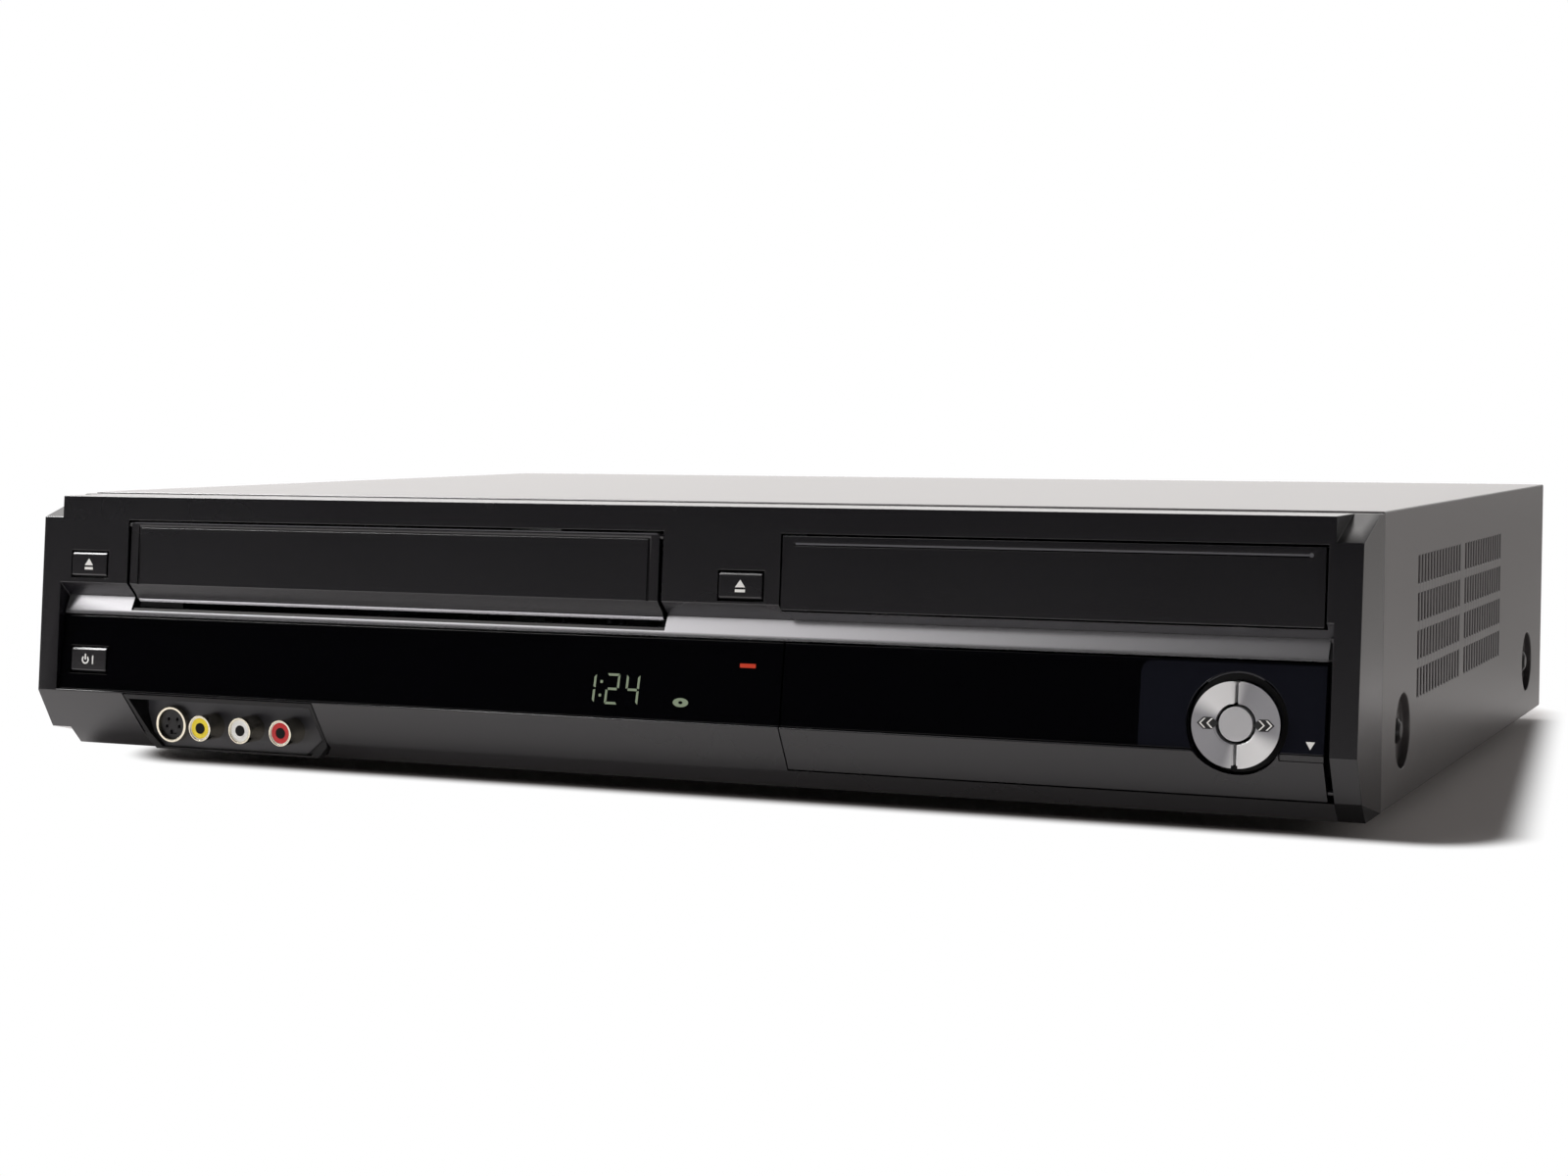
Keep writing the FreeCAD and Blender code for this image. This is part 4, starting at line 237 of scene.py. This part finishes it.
SATIN = material("satin_black", srgb(9, 8, 13), 0.27, specular=0.65, grain=0.08, scale=1400, cloud=0.02)
SATIN_DARK = material("satin_dark", srgb(14, 14, 16), 0.5, specular=0.3, grain=0.08, scale=1400)
GLOSS = material("gloss_black", GLOSS_BLACK, 0.06, specular=0.4)
COVER = material("cover_paint", srgb(94, 91, 91), 0.33, specular=0.75, grain=0.06, scale=1100)
SILVER = material("silver_paint", srgb(194, 194, 198), 0.24, metal=0.9)
ZINC = material("zinc", srgb(150, 152, 152), 0.38, metal=0.9, cloud=0.08)
BLACK = material("moulded_black", srgb(16, 16, 17), 0.5, grain=0.2, scale=1200)
DARK_KEY = material("dark_key", srgb(52, 52, 55), 0.45)
RUBBER = material("rubber", srgb(22, 22, 22), 0.8, grain=0.3)
SCREW = material("screw_black", srgb(26, 26, 27), 0.3, metal=0.6)
NICKEL = material("nickel", srgb(214, 208, 190), 0.16, metal=1.0)
YELLOW = material("yellow_core", srgb(248, 222, 36), 0.35)
WHITE = material("white_core", srgb(246, 246, 242), 0.35)
RIM = material("pale_rim", srgb(244, 240, 226), 0.3)
BAY_GREY = material("bay_grey", srgb(58, 58, 62), 0.45, grain=0.08, scale=1400)
# Light grey for painted highlights: the flap's top edge, the tray door's line and the glint in the
# ring's recess
HIGHLIGHT_PAINT_GREY = material("highlight_paint_grey", srgb(84, 84, 88), 0.4)
# Near-black with little sheen: painted shade for the panel in the recess round the ring, the sockets'
# holes and the band's end
SHADE_BLACK = material("shade_black", srgb(5, 5, 6), 0.6, specular=0.2)
RED = material("red_core", srgb(206, 22, 26), 0.35)
CAP = material("cap_grey", srgb(196, 196, 198), 0.32, metal=0.3)
BOARD = material("board_green", srgb(26, 74, 40), 0.4, cloud=0.1)
DRUM = material("drum_metal", srgb(190, 190, 194), 0.22, metal=1.0)
TUBE = material("tube_glass", srgb(20, 26, 28), 0.08)
PRINT = material("white_print", srgb(232, 232, 228), 0.5)
DOOR_GLOSS = tinted_gloss("door_gloss")
RING = turned_metal_painted_glint("turned_ring_painted_glint", (RING_X * MM, 0, EDGE + RING_RISE * MM))
DIGIT = glowing("digit_glow", srgb(118, 130, 108), 0.3)
LAMP = glowing("lamp_glow", srgb(176, 48, 20), 0.3)

LOOKS = {
    "top_cover": COVER, "chassis_pan": ZINC, "feet": BLACK, "foot_pads": RUBBER,
    "cover_screws": SCREW, "front_fascia": SATIN, "cassette_flap": SATIN, "silver_trim": SILVER,
    "display_window": GLOSS, "control_door": SATIN, "door_panel": DOOR_GLOSS, "tray_front": SATIN,
    "eject_key": SATIN, "open_close_key": SATIN, "power_key": SATIN, "ring_key_left": RING,
    "ring_key_right": RING, "ring_cap": CAP, "control_panel": SHADE_BLACK, "small_key_1": DARK_KEY,
    "small_key_2": DARK_KEY, "small_key_3": DARK_KEY, "small_key_4": DARK_KEY, "jack_bay": SATIN_DARK,
    "video_jack": YELLOW, "audio_jack_left": WHITE, "audio_jack_right": RED, "jack_shells": NICKEL,
    "jack_block": BLACK, "drive_case": BLACK, "drive_lid": ZINC, "disc_tray": BLACK,
    "tray_motor": ZINC, "tray_gear": WHITE, "traverse_unit": ZINC, "turntable": BLACK,
    "pickup_sled": DARK_KEY, "disc_clamper": BLACK, "deck_plate": ZINC, "cassette_carrier": ZINC,
    "supply_reel_table": BLACK, "take_up_reel_table": BLACK, "head_drum_lower": DRUM,
    "head_drum_upper": DRUM, "capstan": DRUM, "pinch_arm": ZINC, "pinch_roller": RUBBER,
    "tape_guides": DRUM, "main_board": BOARD, "power_board": BOARD, "socket_board": BOARD,
    "display_board": BOARD, "display_tube": TUBE, "tuner_can": ZINC, "fan_frame": BLACK,
    "fan_rotor": BLACK, "rear_panel": ZINC, "rear_socket_shells": NICKEL, "rear_socket_cores": BLACK,
    "mains_inlet": BLACK,
}

# Edge rounding, in millimetres, where it isn't the usual one
ROUNDING = {
    "top_cover": 0.5, "front_fascia": 0.2, "cassette_flap": 0.15, "display_window": 0.2,
    "door_panel": 0.2, "silver_trim": 0.06, "tray_front": 0.2, "eject_key": 0.3,
    "open_close_key": 0.3, "power_key": 0.3, "control_door": 0.2, "rear_socket_cores": 0.05,
    "jack_shells": 0.12, "rear_socket_shells": 0.12, "chassis_pan": 0.1, "rear_panel": 0.05,
}
USUAL_ROUNDING = 0.15
ROUNDING_STEPS = 3
ROUNDED_ABOVE = math.radians(22)
SPLIT_ABOVE = math.radians(32)
WELD_REACH = 0.01 * MM
NORMAL_WEIGHT = 100


def finish_node(name, made):
    """Paint a CAD node and soften its edges without moving a vertex of its mesh."""
    mesh = made.data
    mesh.materials.clear()
    mesh.materials.append(LOOKS[name])
    if "custom_normal" in mesh.attributes:
        mesh.attributes.remove(mesh.attributes["custom_normal"])
    mesh.shade_smooth()
    weld = made.modifiers.new("Weld", "WELD")
    weld.merge_threshold = WELD_REACH
    bevel = made.modifiers.new("Bevel", "BEVEL")
    bevel.width = ROUNDING.get(name, USUAL_ROUNDING) * MM
    bevel.segments = ROUNDING_STEPS
    bevel.limit_method = "ANGLE"
    bevel.angle_limit = ROUNDED_ABOVE
    bevel.use_clamp_overlap = False
    split = made.modifiers.new("Split", "EDGE_SPLIT")
    split.split_angle = SPLIT_ABOVE
    level = made.modifiers.new("Level", "WEIGHTED_NORMAL")
    level.weight = NORMAL_WEIGHT
    level.keep_sharp = True


for name, made in nodes.items():
    finish_node(name, made)


# Small pieces drawn here

PLATE_HALF = 0.04 * MM


def piece(name, points, faces, look, body="case"):
    """Mesh from points in metres, riding on a body."""
    mesh = bpy.data.meshes.new(name)
    mesh.from_pydata(points, [], faces)
    mesh.validate()
    work = bmesh.new()
    work.from_mesh(mesh)
    bmesh.ops.recalc_face_normals(work, faces=work.faces)
    work.to_mesh(mesh)
    work.free()
    mesh.shade_flat()
    mesh.materials.append(look)
    made = bpy.data.objects.new(name, mesh)
    bpy.context.scene.collection.objects.link(made)
    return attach(made, body)


def plates(name, outlines, surface, look, body="case", thick=PLATE_HALF):
    """Thin raised plates: outlines in X and rise (mm), laid on a surface function of rise."""
    points = []
    faces = []
    for outline in outlines:
        start = len(points)
        count = len(outline)
        for lift in (-thick, thick):
            for x, rise in outline:
                height = rise * MM
                points.append((x * MM, surface(height) + lift, EDGE + height))
        faces.append(tuple(start + i for i in range(count)))
        faces.append(tuple(start + count + i for i in reversed(range(count))))
        for i in range(count):
            j = (i + 1) % count
            faces.append((start + i, start + j, start + count + j, start + count + i))
    return piece(name, points, faces, look, body)


def moved(surface, depth):
    """A surface set back by a depth in millimetres, or forward where it is negative."""
    return lambda height: surface(height) + depth * MM


def upright(depth):
    """A plane across the front, behind the face's lower edge by a depth in millimetres."""
    return lambda height: FRONT + depth * MM


def bar(x0, z0, x1, z1):
    """Outline of an upright rectangle."""
    return [(x0, z0), (x1, z0), (x1, z1), (x0, z1)]


def round_point(x, z, radius, angle, squash=1.0):
    """Point on a circle, or on one squashed in height, at an angle in radians."""
    return (x + radius * math.cos(angle), z + radius * squash * math.sin(angle))


def disc(x, z, radius, squash=1.0):
    """Outline of a circle, or of one squashed in height."""
    count = 28
    return [round_point(x, z, radius, 2 * math.pi * i / count, squash) for i in range(count)]


def arc(x, z, outer, inner, start, end, count=20):
    """A curved band from one angle to another, in degrees, as quads."""
    quads = []
    for i in range(count):
        a = math.radians(start + (end - start) * i / count)
        b = math.radians(start + (end - start) * (i + 1) / count)
        outer_edge = [round_point(x, z, outer, a), round_point(x, z, outer, b)]
        inner_edge = [round_point(x, z, inner, b), round_point(x, z, inner, a)]
        quads.append(outer_edge + inner_edge)
    return quads


# The display's figures: which of the seven parts are lit, and their form in millimetres
SEGMENTS = {"1": "bc", "2": "abged", "4": "fgbc"}
STROKE = 0.7
STROKE_GAP = 0.25
MITRE = 0.7
SLANT = 0.06


def digit(figure, x, z, wide, tall):
    """Outlines of a seven-part figure with its lower left corner at x, z."""
    t = STROKE
    gap = STROKE_GAP
    half = tall / 2
    low = half - t * MITRE
    high = half + t * MITRE
    far = wide - t
    shapes = {
        "a": [(gap, tall), (wide - gap, tall), (far, tall - t), (t, tall - t)],
        "d": [(gap, 0), (wide - gap, 0), (far, t), (t, t)],
        "g": [(t, half - t / 2), (far, half - t / 2), (far, half + t / 2), (t, half + t / 2)],
        "f": [(0, half + gap), (0, tall - gap), (t, tall - t - gap), (t, high)],
        "e": [(0, gap), (0, half - gap), (t, low), (t, t + gap)],
        "b": [(wide, half + gap), (wide, tall - gap), (far, tall - t - gap), (far, high)],
        "c": [(wide, gap), (wide, half - gap), (far, low), (far, t + gap)],
    }
    return [[(x + px + pz * SLANT, z + pz) for px, pz in shapes[part]] for part in SEGMENTS[figure]]


KEY_PROUD = 0.36
on_window = moved(sunk, -0.05)
on_face = moved(face, -KEY_PROUD)
on_ring = moved(face, 0.38)


def on_power(height):
    """The power key's front, set in like the gloss panels and leaning like the face."""
    return sunk(POWER_RISE * MM) + (height - POWER_RISE * MM) * LEAN - KEY_PROUD * MM


readout = []
readout += digit("1", -14.4, 4.7, 4.0, 8.6)
readout += digit("2", -7.0, 4.5, 4.4, 9.0)
readout += digit("4", -0.4, 4.5, 4.4, 9.0)
readout += [bar(-8.9, 6.6, -8.1, 7.4), bar(-8.6, 10.6, -7.8, 11.4)]
plates("readout_digits", readout, on_window, DIGIT)
plates("readout_disc", [disc(18.1, 6.0, 2.5, squash=0.52)], on_window, DIGIT)
plates("readout_disc_eye", [disc(18.1, 6.0, 0.7, squash=0.62)], moved(on_window, -0.03), GLOSS)
plates("readout_lamp", [bar(36.4, 16.8, 41.4, 18.0)], on_window, LAMP)


def eject_mark(x, z):
    """Outlines of a triangle above a bar."""
    half = 1.6
    triangle = [(x - half, z - 0.3), (x + half, z - 0.3), (x, z + 1.9)]
    return [triangle, bar(x - half, z - 1.7, x + half, z - 0.9)]


def power_mark(x, z):
    """Outlines of an open ring with a stroke in it, and of a stroke beside it."""
    stroke = bar(x - 0.25, z, x + 0.25, z + 1.9)
    beside = bar(x + 2.7, z - 1.4, x + 3.2, z + 1.4)
    return arc(x, z, 1.4, 0.9, -230, 50) + [stroke, beside]


plates("eject_mark", eject_mark(-196.2, 41.1), on_face, PRINT, "eject_button")
plates("open_close_mark", eject_mark(36.6, 40.3), on_face, PRINT, "open_close_button")
plates("power_mark", power_mark(POWER_X, POWER_RISE), on_power, PRINT, "power_button")
plates("pull_mark", [[(201.2, 4.0), (203.6, 4.0), (202.4, 1.9)]], on_window, PRINT, "door")


# The ring's turned skin and its arrows

SKIN_SHIFT = 0.5
SKIN_DROP = 0.2
SKIN_OUTER = 11.5
SKIN_INNER = 5.5
SKIN_SPREAD = 88
ARROW_SIZE = 1.3
ARROW_THICK = 0.5


def chevron(x, sign):
    """Outlines of an arrowhead's two strokes, pointing left or right by sign."""
    z = RING_RISE
    tip = x + ARROW_SIZE * sign
    wide = ARROW_THICK * sign
    return [
        [(x, z + ARROW_SIZE), (x + wide, z + ARROW_SIZE), (tip + wide, z), (tip, z)],
        [(x, z - ARROW_SIZE), (x + wide, z - ARROW_SIZE), (tip + wide, z), (tip, z)],
    ]


def arrow_ground(x):
    """Outline of the lens-shaped dark ground for a pair of arrows."""
    z = RING_RISE
    upper = [(x + 2.9, z), (x + 1.2, z + 1.6), (x - 1.2, z + 1.6)]
    return [(x - 2.9, z), (x - 1.2, z - 1.6), (x + 1.2, z - 1.6)] + upper


for sign, word in ((-1, "left"), (1, "right")):
    middle = 90 - 90 * sign
    ends = (middle - SKIN_SPREAD, middle + SKIN_SPREAD)
    spot = (RING_X + SKIN_SHIFT * sign, RING_RISE - SKIN_DROP)
    skin = arc(*spot, SKIN_OUTER, SKIN_INNER, *ends, count=48)
    plates("ring_skin_" + word, skin, moved(on_ring, 0.02), RING, "ring_" + word, thick=0.05 * MM)

for sign, x, word in ((-1, 174.9, "left"), (1, 190.1, "right")):
    body = "ring_" + word
    arrows = chevron(x + 0.5 * sign, sign) + chevron(x - 1.5 * sign, sign)
    plates("ring_ground_" + word, [arrow_ground(x)], on_ring, BLACK, body)
    plates("ring_marks_" + word, arrows, moved(on_ring, -0.05), PRINT, body)


# Flap's bright lip, painted highlights along the flap's top edge and the tray door's moulded line, the
# front sockets' trims with painted shade in their holes, the band's end in near-black as painted shade,
# and the painted glint on the recess round the ring

LIP_LOW = 30.8 * MM
LIP_HIGH = 31.6 * MM
LIP_DEPTH = 3.5 * MM
LIP_SLOPE = 0.545
TONGUE_DEPTH = 9.36
TONGUE_CORNER = (-173.2, -13.5, 4.6)
JACK_RIM = (3.8, 3.3)
JACK_RIM_DEPTH = 1.86
HOLE_SHADE_RADIUS = 1.7
HOLE_SHADE_DEPTH = 1.88
BAND_SIDES = (207.7, 214.95)
BAND_PROFILE = ((6.95, -12.7), (11.9, -18.15), (31.1, -18.15))


def on_lip(height):
    """Lower facet of the flap inside the groove."""
    return face(LIP_LOW) + LIP_DEPTH + (LIP_HIGH - height) * LIP_SLOPE


plates("flap_lip", [bar(-179.2, 29.3, 9.9, 30.3)], on_lip, SILVER, "flap", thick=0.12 * MM)
# Painted highlight along the flap's top edge
plates("flap_top_highlight", [bar(-178.8, 54.6, 9.4, 54.9)], moved(face, -0.01), HIGHLIGHT_PAINT_GREY, "flap")
# Painted highlight along the tray door's moulded line
tray_line_highlight = [bar(53.4, 52.55, 201.0, 53.05), disc(201.3, 52.8, 0.6)]
plates("tray_line_highlight", tray_line_highlight, moved(face, 0.02), HIGHLIGHT_PAINT_GREY, "tray")


def tongue():
    """Outline of the plate behind the sockets, with a round corner low on the left."""
    corner = [round_point(*TONGUE_CORNER, math.radians(a)) for a in range(180, 271, 15)]
    far = [(-118.5, -18.1), (-117.0, -17.5), (-110.4, -12.0), (-109.9, -10.9), (-109.9, -1.6)]
    return [(-177.8, -1.6)] + corner + far


plates("socket_tongue", [tongue()], upright(TONGUE_DEPTH), BAY_GREY, thick=0.06 * MM)
# Each socket gets a trim and a near-black disc on its core, painted shade for its hole
for number, x in enumerate(JACKS_X):
    rim = arc(x, JACKS_RISE, *JACK_RIM, 0, 360, count=32)
    hole_shade = disc(x, JACKS_RISE, HOLE_SHADE_RADIUS)
    plates("jack_rim_%d" % number, rim, upright(JACK_RIM_DEPTH), RIM, thick=0.1 * MM)
    plates("jack_hole_shade_%d" % number, [hole_shade], upright(HOLE_SHADE_DEPTH), SHADE_BLACK, thick=0.1 * MM)

# The band's end is drawn near-black, painted shade under the casing's edge
points = [(x * MM, FRONT + y * MM, EDGE + z * MM) for x in BAND_SIDES for y, z in BAND_PROFILE]
sides = [(0, 1, 2), (5, 4, 3), (0, 3, 4, 1), (1, 4, 5, 2), (2, 5, 3, 0)]
piece("band_end", points, sides, SHADE_BLACK)

glint = arc(RING_X, RING_RISE, 13.65, 13.35, 60, 128)
plates("ring_recess_glint", glint, moved(sunk, 0.6), HIGHLIGHT_PAINT_GREY, "door", thick=0.1 * MM)


# Floor. The camera sees it as plain white light past a painted shadow edge, a skewed box a little
# beyond the casing.

WHITE_LIGHT = (1, 1, 1, 1)
FLOOR_HALF = 6.0
PAPER = srgb(232, 229, 229)
# Paper colour towards the back, darker as painted shade
PAPER_FAR_SHADE = srgb(150, 148, 147)
PAPER_GLOW = srgb(255, 244, 238)
SHADOW_CENTRE = (0.0115, 0.0265, 0)
SHADOW_CORE = (0.1975, 0.1485, 0)
SHADOW_EDGE = 0.028
SHADOW_BLUR = 0.007
SHADOW_SKEW = 0.115
SKEW_SHIFT = 0.005
FAR_SHADE_SPAN = (0.02, 0.4)
BESIDE_SPAN = (0.19, 0.225)
BESIDE_GLOW = 0.045
BEYOND_START = 0.016
BEYOND_GLOW = 0.06


def floor_material():
    """Warm white paper with painted shade darkening it towards the back, and a painted glow beside the
    casing and around its shadow.
    """
    made = material("floor_white", PAPER, 0.9, specular=0.1)
    tree = made.node_tree
    shader = tree.nodes["Principled BSDF"]
    parts = parts_of(tree, place_of(tree))
    skew = number_of(tree, "MULTIPLY_ADD", parts["Y"], SHADOW_SKEW, SHADOW_SKEW * SKEW_SHIFT)
    across = number_of(tree, "ADD", parts["X"], skew)
    leaned = feed(tree, node(tree, "ShaderNodeCombineXYZ"), (across, parts["Y"])).outputs[0]
    reach = reach_past(tree, leaned, SHADOW_CENTRE, SHADOW_CORE)
    # Painted shade: the paper darkens towards the back
    paper = mix_colors(tree, ramp_of(tree, parts["Y"], *FAR_SHADE_SPAN), PAPER, PAPER_FAR_SHADE)
    tree.links.new(paper, shader.inputs["Base Color"])
    # Painted light: the paper glows a little beside the casing and near the shadow's edge
    beside = ramp_of(tree, parts["X"], *BESIDE_SPAN, 0.0, BESIDE_GLOW)
    beyond = ramp_of(tree, reach, BEYOND_START, SHADOW_EDGE, 0.0, BEYOND_GLOW)
    shader.inputs["Emission Color"].default_value = PAPER_GLOW
    tree.links.new(number_of(tree, "MAXIMUM", beside, beyond), shader.inputs["Emission Strength"])
    fade = ramp_of(tree, reach, SHADOW_EDGE - SHADOW_BLUR, SHADOW_EDGE + SHADOW_BLUR)
    path = node(tree, "ShaderNodeLightPath")
    seen = number_of(tree, "MULTIPLY", fade, path.outputs["Is Camera Ray"])
    light = node(tree, "ShaderNodeEmission", Color=WHITE_LIGHT, Strength=1.0)
    mixed = mix_shaders(tree, seen, shader.outputs["BSDF"], light.outputs["Emission"])
    tree.links.new(mixed, tree.nodes["Material Output"].inputs["Surface"])
    return made


def make_floor():
    """Square sheet under the recorder."""
    far = FLOOR_HALF
    corners = [(-far, -far, 0), (far, -far, 0), (far, far, 0), (-far, far, 0)]
    mesh = bpy.data.meshes.new("floor")
    mesh.from_pydata(corners, [], [(0, 1, 2, 3)])
    mesh.materials.append(floor_material())
    made = bpy.data.objects.new("floor", mesh)
    bpy.context.scene.collection.objects.link(made)
    return made


floor = make_floor()


# Light and camera

# Directions where the lit wall and the panel fade in, and how bright each is
STUDIO_LIGHT = (1, 0.975, 0.96, 1)
WALL_BEHIND = (-0.1, 0.7)
WALL_LOW = (0.75, 0.15)
WALL_ACROSS = (-0.2, 0.24)
WALL_STRENGTHS = (1.8, 0.62)
PANEL_LEFT = (-0.22, -0.6)
PANEL_HIGH = (0.35, 0.6)
PANEL_STRENGTH = 2.0
ROOM_STRENGTH = 0.015


def studio_world():
    """Dim room with a lit wall low behind and a panel high on the left; the camera sees white."""
    world = bpy.data.worlds.new("studio")
    world.use_nodes = True
    tree = world.node_tree
    tree.nodes.clear()
    parts = parts_of(tree, place_of(tree, "Generated"))
    behind = ramp_of(tree, parts["Y"], *WALL_BEHIND)
    low = ramp_of(tree, parts["Z"], *WALL_LOW)
    across = ramp_of(tree, parts["X"], *WALL_ACROSS, *WALL_STRENGTHS)
    wall = number_of(tree, "MULTIPLY", number_of(tree, "MULTIPLY", behind, low), across)
    leftward = ramp_of(tree, parts["X"], *PANEL_LEFT)
    high = ramp_of(tree, parts["Z"], *PANEL_HIGH)
    panel = number_of(tree, "MULTIPLY", leftward, high)
    panel = number_of(tree, "MULTIPLY_ADD", panel, PANEL_STRENGTH, ROOM_STRENGTH)
    studio = node(tree, "ShaderNodeBackground", Color=STUDIO_LIGHT)
    tree.links.new(number_of(tree, "MAXIMUM", wall, panel), studio.inputs["Strength"])
    plain = node(tree, "ShaderNodeBackground", Color=WHITE_LIGHT, Strength=1.0)
    path = node(tree, "ShaderNodeLightPath")
    backs = (studio.outputs["Background"], plain.outputs["Background"])
    mixed = mix_shaders(tree, path.outputs["Is Camera Ray"], *backs)
    tree.links.new(mixed, node(tree, "ShaderNodeOutputWorld").inputs["Surface"])
    return world


def area_light(name, spot, aim, size, power):
    """Rectangular light turned from its spot towards a point."""
    data = bpy.data.lights.new(name, "AREA")
    data.shape = "RECTANGLE"
    data.size, data.size_y = size
    data.energy = power
    made = bpy.data.objects.new(name, data)
    made.location = spot
    made.rotation_mode = "QUATERNION"
    made.rotation_quaternion = (Vector(aim) - Vector(spot)).to_track_quat("-Z", "Y")
    bpy.context.scene.collection.objects.link(made)


bpy.context.scene.world = studio_world()
area_light("key", (-1.6, -0.1, 1.9), (0, 0, 0), (1.0, 1.0), 85)
area_light("side", (-2.2, -0.7, 1.0), (-0.1, -0.1, 0), (0.9, 0.9), 10)

YAW = math.radians(24.209)
PITCH = math.radians(3.837)
PHOTO_WIDTH = 1600
FOCAL_PIXELS = 2682.0
SENSOR = 36.0
CAMERA_SPOT = (0.357163, -0.842989, 0.113752)
CAMERA_NEAR = 0.05
CAMERA_FAR = 50.0


def photo_camera():
    """Camera solved from the photograph's straight edges."""
    data = bpy.data.cameras.new("camera")
    data.sensor_width = SENSOR
    data.lens = FOCAL_PIXELS / PHOTO_WIDTH * SENSOR
    data.clip_start = CAMERA_NEAR
    data.clip_end = CAMERA_FAR
    made = bpy.data.objects.new("camera", data)
    level = math.cos(PITCH)
    ahead = Vector((-math.sin(YAW) * level, math.cos(YAW) * level, -math.sin(PITCH)))
    right = Vector((math.cos(YAW), math.sin(YAW), 0))
    turned = Matrix((right, right.cross(ahead), -ahead)).transposed().to_4x4()
    made.matrix_world = Matrix.Translation(CAMERA_SPOT) @ turned
    bpy.context.scene.collection.objects.link(made)
    return made


bpy.context.scene.camera = photo_camera()
bpy.context.scene.view_settings.view_transform = "Standard"
bpy.context.scene.view_settings.look = "None"
